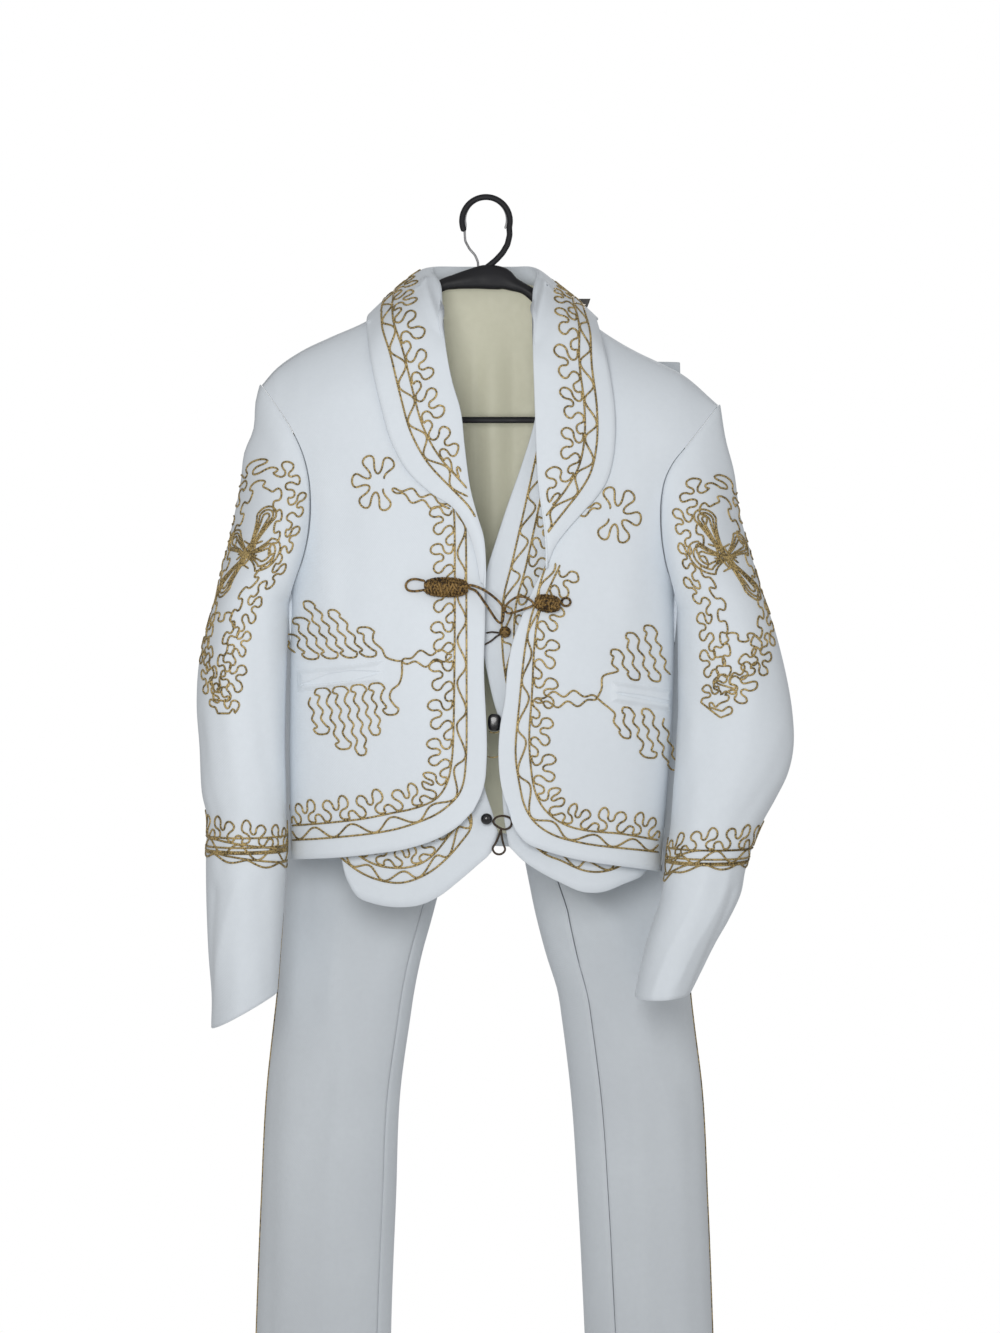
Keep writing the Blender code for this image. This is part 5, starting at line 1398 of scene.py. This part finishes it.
# sleeve ornament: a knot of rings in a leaf of loops, and a band lower down
sleeveMotifs = {
    "left": {"middle": [(455, 26), (480, 36), (555, 52), (640, 56), (692, 72), (738, 80)],
             "half": [(455, 4), (470, 26), (492, 50), (527, 63), (560, 66), (600, 58), (640, 48), (680, 32),
                      (710, 18), (738, 2)], "knotV": 555, "knotTurn": 50, "sign": 1},
    "right": {"middle": [(470, 24), (500, 34), (560, 49), (620, 72), (676, 97), (711, 118), (735, 127)],
              "half": [(470, 4), (485, 28), (510, 50), (545, 64), (580, 66), (620, 58), (650, 46), (680, 30),
                       (710, 14), (735, 2)], "knotV": 558, "knotTurn": 52, "sign": 1},
}
degPerMm = 1.24


def leafBase(motif, shrink, count=90):
    # the closed outline of the leaf, as (degrees, v), drawn in by some millimetres
    middle, half = np.array(motif["middle"], float), np.array(motif["half"], float)
    vs = np.linspace(half[0, 0] + shrink * 1.1, half[-1, 0] - shrink * 1.6, count)
    centre = np.interp(vs, middle[:, 0], middle[:, 1])
    wide = np.interp(vs, half[:, 0], half[:, 1]) - shrink * degPerMm
    wide = np.maximum(wide, 1.0)
    front = np.stack([centre + wide, vs], axis=1)
    back = np.stack([centre - wide, vs], axis=1)[::-1]
    return np.concatenate([front, back])


def leafLoops(surface, motif, shrink, repeat, height, singles=False):
    outline = leafBase(motif, shrink)
    flat = outline / [degPerMm, 1]
    flat = rounded(evenly(flat, 2.0, True), 8, True)
    run = np.roll(flat, -1, axis=0) - np.roll(flat, 1, axis=0)
    run = run / np.linalg.norm(run, axis=1, keepdims=True)
    side = np.stack([run[:, 1], -run[:, 0]], axis=1)
    length = np.linalg.norm(np.diff(np.concatenate([flat, flat[:1]]), axis=0), axis=1)
    s = np.concatenate([[0], np.cumsum(length)])
    if singles:
        turns = max(3, round(s[-1] / repeat))
        t = np.linspace(0, 1, int(s[-1] / 0.9))
        drawn = np.stack([s[-1] * t + 0.12 * repeat * np.sin(4 * math.pi * turns * t),
                          height / 2 * (1 - np.cos(2 * math.pi * turns * t))], axis=1)
    else:
        drawn = vermicelli(s[-1], repeat, height, 0.0, 0.1)
    ringFlat = np.concatenate([flat, flat[:1]])
    ringSide = np.concatenate([side, side[:1]])
    at = np.stack([np.interp(drawn[:, 0] % s[-1], s, ringFlat[:, k]) for k in (0, 1)], axis=1)
    off = np.stack([np.interp(drawn[:, 0] % s[-1], s, ringSide[:, k]) for k in (0, 1)], axis=1)
    path = (at + off * drawn[:, 1:2]) * [degPerMm, 1]
    return laidOnSleeve(surface, path, True)


def laidOnSleeve(surface, turnV, closed=False):
    flat = evenly(np.asarray(turnV, float) / [degPerMm, 1], cordStyle["step"], closed)
    spot, out = surface.at(flat * [degPerMm, 1])
    return spot, out, closed


def teardrop(centre, tip, radius, count=60):
    # a ring at the centre drawn out to a point at the tip, in flat millimetres
    centre, tip = np.array(centre, float), np.array(tip, float)
    toward = tip - centre
    far = np.linalg.norm(toward)
    toward = toward / far
    across = np.array([-toward[1], toward[0]])
    a = np.linspace(0, 2 * math.pi, count, endpoint=False)
    reach = np.cos(a)
    along = np.where(reach > 0, far * np.maximum(reach, 0) ** 2.5, reach * radius)
    widthAt = radius * np.sin(a) * np.where(reach > 0, 1 - reach**2 * 0.85, 1)
    return centre + along[:, None] * toward + widthAt[:, None] * across


def sleeveKnot(surface, motif):
    runs = []
    heart = np.array([motif["knotTurn"] / degPerMm, motif["knotV"]], float)
    rings = [(20, 0, (6.5, 11.5, 16.5)), (-10, 30, (4.5, 9, 13)), (4, -38, (3.6, 7.2, 10.5)),
             (-26, -14, (4, 7.6, 11))]
    for du, dv, radii in rings:
        for radius in radii:
            shape = teardrop(heart + [du, dv], heart - np.array([du, dv]) * 0.18, radius)
            runs.append(laidOnSleeve(surface, shape * [degPerMm, 1], True))
    # the crossing threads that fill the middle
    for k in range(7):
        angle = k * math.pi / 7
        reachOut = np.array([math.cos(angle), math.sin(angle)]) * (12 + 3 * (k % 3))
        bend = np.array([-reachOut[1], reachOut[0]]) * (0.28 if k % 2 else -0.28)
        shape = catmull([heart - reachOut, heart - reachOut * 0.3 + bend, heart + reachOut * 0.3 - bend,
                         heart + reachOut], 6)
        runs.append(laidOnSleeve(surface, shape * [degPerMm, 1]))
    return runs


def sleeveBand(surface, lineV, gap, repeat=36, height=24):
    # lineV gives v of the upper line over the turn
    turns = np.arange(0, 360, 1.5)
    high = np.array([lineV(t) for t in turns])
    runs = []
    around = 360 / degPerMm
    for off in (0, gap):
        runs.append(laidOnSleeve(surface, np.stack([turns, high + off], axis=1), True))
    t = np.linspace(0, 360, 300, endpoint=False)
    level = np.interp(t, np.append(turns, 360), np.append(high, high[0]))
    swing = gap / 2 + gap * 0.46 * np.sin(np.radians(t) * 7 + 0.5)
    runs.append(laidOnSleeve(surface, np.stack([t, level + swing], axis=1), True))
    sag = gap + 0.8 + 5.2 * np.abs(np.sin(np.radians(t) * 3.5 + 0.3)) ** 1.3
    runs.append(laidOnSleeve(surface, np.stack([t, level + sag], axis=1), True))
    drawn = vermicelli(around, repeat, height, 0.0, 0.1)
    degrees = drawn[:, 0] * degPerMm
    level = np.interp(degrees % 360, np.append(turns, 360), np.append(high, high[0]))
    runs.append(laidOnSleeve(surface, np.stack([degrees, level - drawn[:, 1]], axis=1)))
    return runs


bandLine = {"left": lambda t: 840.7 - 6.2 * math.cos(math.radians(t)),
            "right": lambda t: 846 + 15 * float(smooth((180 - abs(t - 180) - 105) / 75))}
bandGap = {"left": 13.5, "right": 12.5}
# how far each ring is drawn in, its repeat and height, and whether its loops are single
leafRings = [(17, 35, 17, False), (30, 22, 8, True)]
for side in ("left", "right"):
    surface = SleeveSurface(sleeves[side])
    motif = sleeveMotifs[side]
    runs = [leafLoops(surface, motif, *ring) for ring in leafRings] + sleeveKnot(surface, motif)
    lower = dict(motif)
    lower["half"] = [(v, w) for v, w in motif["half"] if v > motif["knotV"] + 30]
    lower["half"] = [(lower["half"][0][0] - 4, 8)] + lower["half"]
    runs.append(leafLoops(surface, lower, 24, 17, 9, True))
    runs += sleeveBand(surface, bandLine[side], bandGap[side])
    sewOn(f"gold_cord_sleeve_{side}", runs, gold, f"jacket_sleeve_{side}")
print("cord on the sleeves laid")

# vest border
vestLines = {
    "leftOuter": [(425, 400), (436, 450), (445, 500), (452, 550), (458, 600), (461, 680), (462, 750),
                  (466, 795),
                  (472, 824), (461, 842), (448, 857), (433, 870), (416, 879), (399, 883), (379, 880),
                  (360, 872),
                  (344, 860), (328, 846), (316, 836)],
    "leftInner": [(412, 400), (423, 450), (432, 500), (440, 550), (446, 600), (449, 680), (450, 750),
                  (453, 790),
                  (457.5, 822), (447, 838), (436, 852), (424, 862), (410, 867), (397, 868), (380, 866),
                  (364, 859),
                  (350, 848), (335, 834), (322, 824)],
    "rightOuter": [(548, 400), (534, 465), (523, 515), (512, 563), (503, 601), (502, 640), (506, 680),
                   (516, 720),
                   (520, 770), (522, 815), (530, 840), (545.6, 854.5), (560, 860), (579, 869), (594, 872),
                   (608.5, 870.5), (622, 865), (634, 856), (642, 840)],
    "rightInner": [(562, 400), (547, 468), (536, 520), (525, 570), (516, 604), (514, 640), (518, 678),
                   (528, 718),
                   (532, 770), (534, 812), (541, 832), (553, 845), (567, 850), (583, 857), (596, 859),
                   (608, 857), (620, 851), (628, 843), (634, 830)],
}
vestLeftRuns = border(vestSurface, vestLines["leftOuter"], vestLines["leftInner"], 1, 34, 40, 20)
vestRightRuns = border(vestSurface, vestLines["rightOuter"], vestLines["rightInner"], -1, 34, 40, 20)
sewOn("gold_cord_vest_left", vestLeftRuns, gold, "vest_front_left")
sewOn("gold_cord_vest_right", vestRightRuns, gold, "vest_front_right")
print("cord on the vest laid")


# trouser stripes down the outseams
class LegSurface:
    # places (mm across the outseam, v) on a leg: forward is negative
    def __init__(self, side):
        self.side = side

    def spot(self, across, v):
        turn = np.radians(np.abs(across) * 1.12)
        seam = np.radians(np.interp(v, inseamTurn[:, 0], inseamTurn[:, 1 if self.side == "left" else 2]))
        shape = np.radians(90 + 90 * smooth((v - 560) / (trouser["crotch"] - 560)) ** 1.4)
        found = np.zeros((len(v), 3))
        for face, sign in (("front", -1), ("back", 1)):
            pick = (across <= 0) if sign < 0 else (across > 0)
            if pick.any():
                below = v[pick] > trouser["crotch"]
                end = np.where(below, seam[pick] if face == "front" else 2 * math.pi - seam[pick],
                               shape[pick])
                found[pick] = trouserPlace(self.side, v[pick], turn[pick] / end, face)
        return found

    def at(self, av):
        a, v = av[:, 0], av[:, 1]
        centre = self.spot(a, v)
        da = self.spot(a + 0.8, v) - self.spot(a - 0.8, v)
        dv = self.spot(a, v + 0.8) - self.spot(a, v - 0.8)
        out = np.cross(da, dv) if self.side == "left" else np.cross(dv, da)
        sign = -1 if self.side == "left" else 1
        out = out * np.where(out[:, :1] * sign < 0, -1, 1)
        return centre, out / np.linalg.norm(out, axis=1, keepdims=True)


stripe = {"half": 17.0, "top": 412.0, "bottom": 1380.0, "repeat": 24.0, "backward": 15.0}
for side in ("left", "right"):
    surface = LegSurface(side)
    v = np.arange(stripe["top"], stripe["bottom"], 1.5)
    runs = []
    for off in (-stripe["half"], -stripe["half"] + 4, stripe["half"] - 4, stripe["half"]):
        runs.append(laidCord(surface, np.stack([np.full_like(v, off + stripe["backward"]), v], axis=1)))
    drawn = meander(stripe["bottom"] - stripe["top"], stripe["repeat"], stripe["half"] - 6.5)
    runs.append(laidCord(surface, np.stack([drawn[:, 1] + stripe["backward"], stripe["top"] + drawn[:, 0]],
                                           axis=1)))
    sewOn(f"gold_cord_trouser_{side}", runs, gold, f"trousers_front_{side}")
print("trouser stripes laid")


# frog fasteners and the vest's closures
def onFront(uv, lift):
    uv = np.asarray(uv, float)
    return place(uv[:, 0], uv[:, 1], frontY(uv[:, 0], uv[:, 1]) - lift)


def onVest(uv, lift):
    uv = np.asarray(uv, float)
    return place(uv[:, 0], uv[:, 1], vestFrontY(uv[:, 0], uv[:, 1]) - lift)


def ringLine(centre, halfU, halfV, tilt, count=48):
    a = np.linspace(0, 2 * math.pi, count, endpoint=False)
    du, dv = halfU * np.cos(a), halfV * np.sin(a)
    return np.stack([centre[0] + du * math.cos(tilt) - dv * math.sin(tilt),
                     centre[1] + du * math.sin(tilt) + dv * math.cos(tilt)], axis=1)


def barrel(name, node, uv, half, tilt, strands, turns):
    # a worked knot: cords wound both ways round a core
    centre = onFront([uv], half[1] + 0.0009)[0]
    runs = []
    t = np.linspace(-0.97, 0.97, 110)
    radius = (1 - np.abs(t) ** 2.6) ** (1 / 2.6)
    for hand in (-1, 1):
        for k in range(strands):
            angle = hand * t * turns * math.pi + 2 * math.pi * k / strands + (0.3 if hand > 0 else 0)
            ripple = 1 + 0.09 * np.sin(angle * strands + hand)
            local = np.stack([t * half[0], np.cos(angle) * radius * half[1] * 0.9 * ripple,
                              np.sin(angle) * radius * half[2] * 0.9 * ripple], axis=1)
            up = np.stack([t * 0.15, np.cos(angle) / half[1], np.sin(angle) / half[2]], axis=1)
            up = up / np.linalg.norm(up, axis=1, keepdims=True)
            runs.append((local, up, False))
    verts, faces = tubeMesh(runs, 0.0024, 0.0021, 0.0, 6)
    core, coreFaces = [], []
    rings, around = 15, 22
    for i in range(rings):
        lat = -0.96 + 1.92 * i / (rings - 1)
        r = (1 - abs(lat) ** 2.6) ** (1 / 2.6) * 0.86
        for j in range(around):
            a = 2 * math.pi * j / around
            core.append((lat * half[0], math.cos(a) * r * half[1], math.sin(a) * r * half[2]))
    base = len(verts)
    for i in range(rings - 1):
        for j in range(around):
            k = (j + 1) % around
            coreFaces.append((base + i * around + j, base + i * around + k, base + (i + 1) * around + k,
                              base + (i + 1) * around + j))
    coreFaces.append(tuple(base + j for j in range(around))[::-1])
    coreFaces.append(tuple(base + (rings - 1) * around + j for j in range(around)))
    verts = np.concatenate([verts, core])
    c, s = math.cos(tilt), math.sin(tilt)
    turned = np.stack([verts[:, 0] * c + verts[:, 2] * s, verts[:, 1], -verts[:, 0] * s + verts[:, 2] * c],
                      axis=1)
    return finish(name, turned + centre, faces + coreFaces, braid, node)


barrel("frog_left_knot", "frog_barrel_left", (446, 587.5), (0.0215, 0.0052, 0.0095), 0.02, 5, 2.6)
barrel("frog_right_knot", "frog_barrel_right", (547.5, 603.5), (0.0125, 0.0048, 0.0083), 0.12, 5, 1.7)
tailLeft = [(425, 581), (421.6, 580.2), (415, 579), (409, 580.4), (405.6, 585), (407.6, 590), (414, 591.2),
            (421.6, 590.4), (425, 589.6)]
roundCord("frog_left_tail", onFront(catmull(tailLeft, 8), 0.0022), 0.0012, braid, "frog_tail_left")
roundCord("frog_right_tail", onFront(ringLine((566, 602), 4.6, 4.2, 0.1), 0.0022), 0.0012, braid,
          "frog_tail_right", True)
linkLeft = [(469.3, 585), (480, 588), (492, 595.5), (502, 605.5), (503.5, 615), (501.5, 623), (496.5, 620),
            (487, 606), (476.5, 591.5), (469.3, 588.3)]
linkRight = [(533, 602.5), (526, 597.5), (517, 597), (508, 603), (504.8, 609), (508, 613.5), (517, 611.5),
             (527, 608), (533, 605.5)]
for name, node, points, depth, radius in (("frog_left_link", "frog_link_left", linkLeft, 0.0777, 0.0013),
                                          ("frog_right_link", "frog_link_right", linkRight, 0.075, 0.0012)):
    line = catmull(points, 8, True)
    roundCord(name, place(line[:, 0], line[:, 1], -depth), radius, braid, node, True)


def pebble(name, node, centre, half, material, square=2.0, rings=18, around=28, dimple=0.0):
    verts, faces = [], []
    for i in range(1, rings):
        for j in range(around):
            lat, turn = math.pi * i / rings, 2 * math.pi * j / around
            d = np.array([math.cos(lat), math.sin(lat) * math.cos(turn), math.sin(lat) * math.sin(turn)])
            d = d / (np.abs(d) ** square).sum() ** (1 / square)
            d = d * (1 + dimple * math.sin(lat * 9) * math.sin(turn * 7))
            verts.append(np.array(centre) + d * half)
    ends = len(verts)
    verts += [np.array(centre) + [half[0], 0, 0], np.array(centre) - [half[0], 0, 0]]
    for j in range(around):
        k = (j + 1) % around
        faces.append((ends, j, k))
        for i in range(rings - 2):
            faces.append((i * around + j, (i + 1) * around + j, (i + 1) * around + k, i * around + k))
        faces.append(((rings - 2) * around + j, ends + 1, (rings - 2) * around + k))
    return finish(name, verts, faces, material, node)


pebble("vest_upper_knot", "vest_knot", onVest([(505, 632)], 0.0049)[0], (0.0055, 0.0045, 0.0055), braid,
       dimple=0.09)
pebble("vest_hook", "vest_clasp", onVest([(494.5, 722.5)], 0.0034)[0], (0.0065, 0.0032, 0.0085), buttonDark,
       square=3.0)
pebble("vest_ball_button", "vest_button", onVest([(486.5, 819)], 0.0052)[0], (0.0056, 0.0046, 0.0056),
       buttonDark)
buttonLoop = [(493.5, 820), (498, 816.5), (505, 816), (511, 819), (511, 826), (505, 829.5), (498, 827),
              (493.5, 823)]
line = catmull(buttonLoop, 8, True)
roundCord("vest_lower_loop", onVest(line, 0.0020), 0.0011, darkCord, "vest_button_loop", True)
drop = teardrop((499, 848), (501, 829), 6.5)
smallCords = [
    (onVest(catmull([(486, 633), (492, 632), (500, 633)], 8), 0.003), 0.0009),
    (onVest(catmull([(484, 645), (491, 641), (497, 636), (501, 634)], 8), 0.003), 0.0009),
    (onVest(catmull([(489, 731.5), (494, 733), (501, 731)], 8), 0.002), 0.0006),
    (onVest(catmull([(487, 756.5), (493, 757.5), (501, 756)], 8), 0.002), 0.0006),
]
for k, (points, radius) in enumerate(smallCords):
    roundCord(f"vest_tie_{k}", points, radius, darkCord if k < 2 else gold, (), slot="vest_knot")
roundCord("vest_lower_drop", onVest(drop, 0.0022), 0.0011, darkCord, (), True, slot="vest_button_loop")
print("fasteners made")

# light, floor and backdrop
studio = {"floorZ": -1.62, "floorRadius": 1.55, "ambient": 0.42, "sky": 1.0}
rings = [(0.0, 0.0)] + [(studio["floorRadius"] * k / 12, 0.0) for k in range(1, 13)]
verts, faces = [(0.014, 0.1, studio["floorZ"])], []
segments = 96
for k in range(1, 13):
    r = studio["floorRadius"] * k / 12
    for j in range(segments):
        a = 2 * math.pi * j / segments
        verts.append((0.014 + r * math.cos(a), 0.1 + r * math.sin(a), studio["floorZ"]))
for j in range(segments):
    faces.append((0, 1 + j, 1 + (j + 1) % segments))
for k in range(11):
    for j in range(segments):
        a, b = 1 + k * segments + j, 1 + k * segments + (j + 1) % segments
        faces.append((a, a + segments, b + segments, b))
floorMesh = bpy.data.meshes.new("floor")
floorMesh.from_pydata(verts, [], faces)
floor = bpy.data.objects.new("floor", floorMesh)
bpy.context.scene.collection.objects.link(floor)
floorPaint = hardMaterial("pale_floor", (0.86, 0.86, 0.86), (0.9, 0.9, 0.9), 0.8, 0.0, 40.0, 0.0005)
floor.data.materials.append(floorPaint)

world = bpy.data.worlds.new("studio")
world.use_nodes = True
bpy.context.scene.world = world
tree = world.node_tree
tree.nodes.clear()
seen = tree.nodes.new("ShaderNodeBackground")
seen.inputs["Color"].default_value = (1, 1, 1, 1)
seen.inputs["Strength"].default_value = studio["sky"]
lit = tree.nodes.new("ShaderNodeBackground")
lit.inputs["Color"].default_value = (1, 1, 1, 1)
lit.inputs["Strength"].default_value = studio["ambient"]
path = tree.nodes.new("ShaderNodeLightPath")
mix = tree.nodes.new("ShaderNodeMixShader")
out = tree.nodes.new("ShaderNodeOutputWorld")
tree.links.new(path.outputs["Is Camera Ray"], mix.inputs[0])
tree.links.new(lit.outputs[0], mix.inputs[1])
tree.links.new(seen.outputs[0], mix.inputs[2])
tree.links.new(mix.outputs[0], out.inputs["Surface"])
lamps = [
    ("keyLight", (-0.12, -1.15, -0.34), (0.0, 0.0, -0.42), 0.5, 5.9),
    ("fillLight", (1.9, -1.9, 0.2), (0.0, 0.0, -0.6), 1.6, 4.0),
    ("backLight", (0.3, 2.4, 1.0), (0.0, 0.0, -0.6), 1.6, 22.0),
]
for name, spot, aim, size, power in lamps:
    lamp = bpy.data.lights.new(name, "AREA")
    lamp.shape = "DISK"
    lamp.size = size
    lamp.energy = power
    obj = bpy.data.objects.new(name, lamp)
    bpy.context.scene.collection.objects.link(obj)
    obj.location = spot
    away = np.array(spot) - np.array(aim)
    obj.rotation_euler = (math.acos(away[2] / np.linalg.norm(away)), 0,
                          math.atan2(away[1], away[0]) + math.pi / 2)
bpy.context.scene.view_settings.view_transform = "Standard"
bpy.context.scene.view_settings.look = "None"
print("studio made")
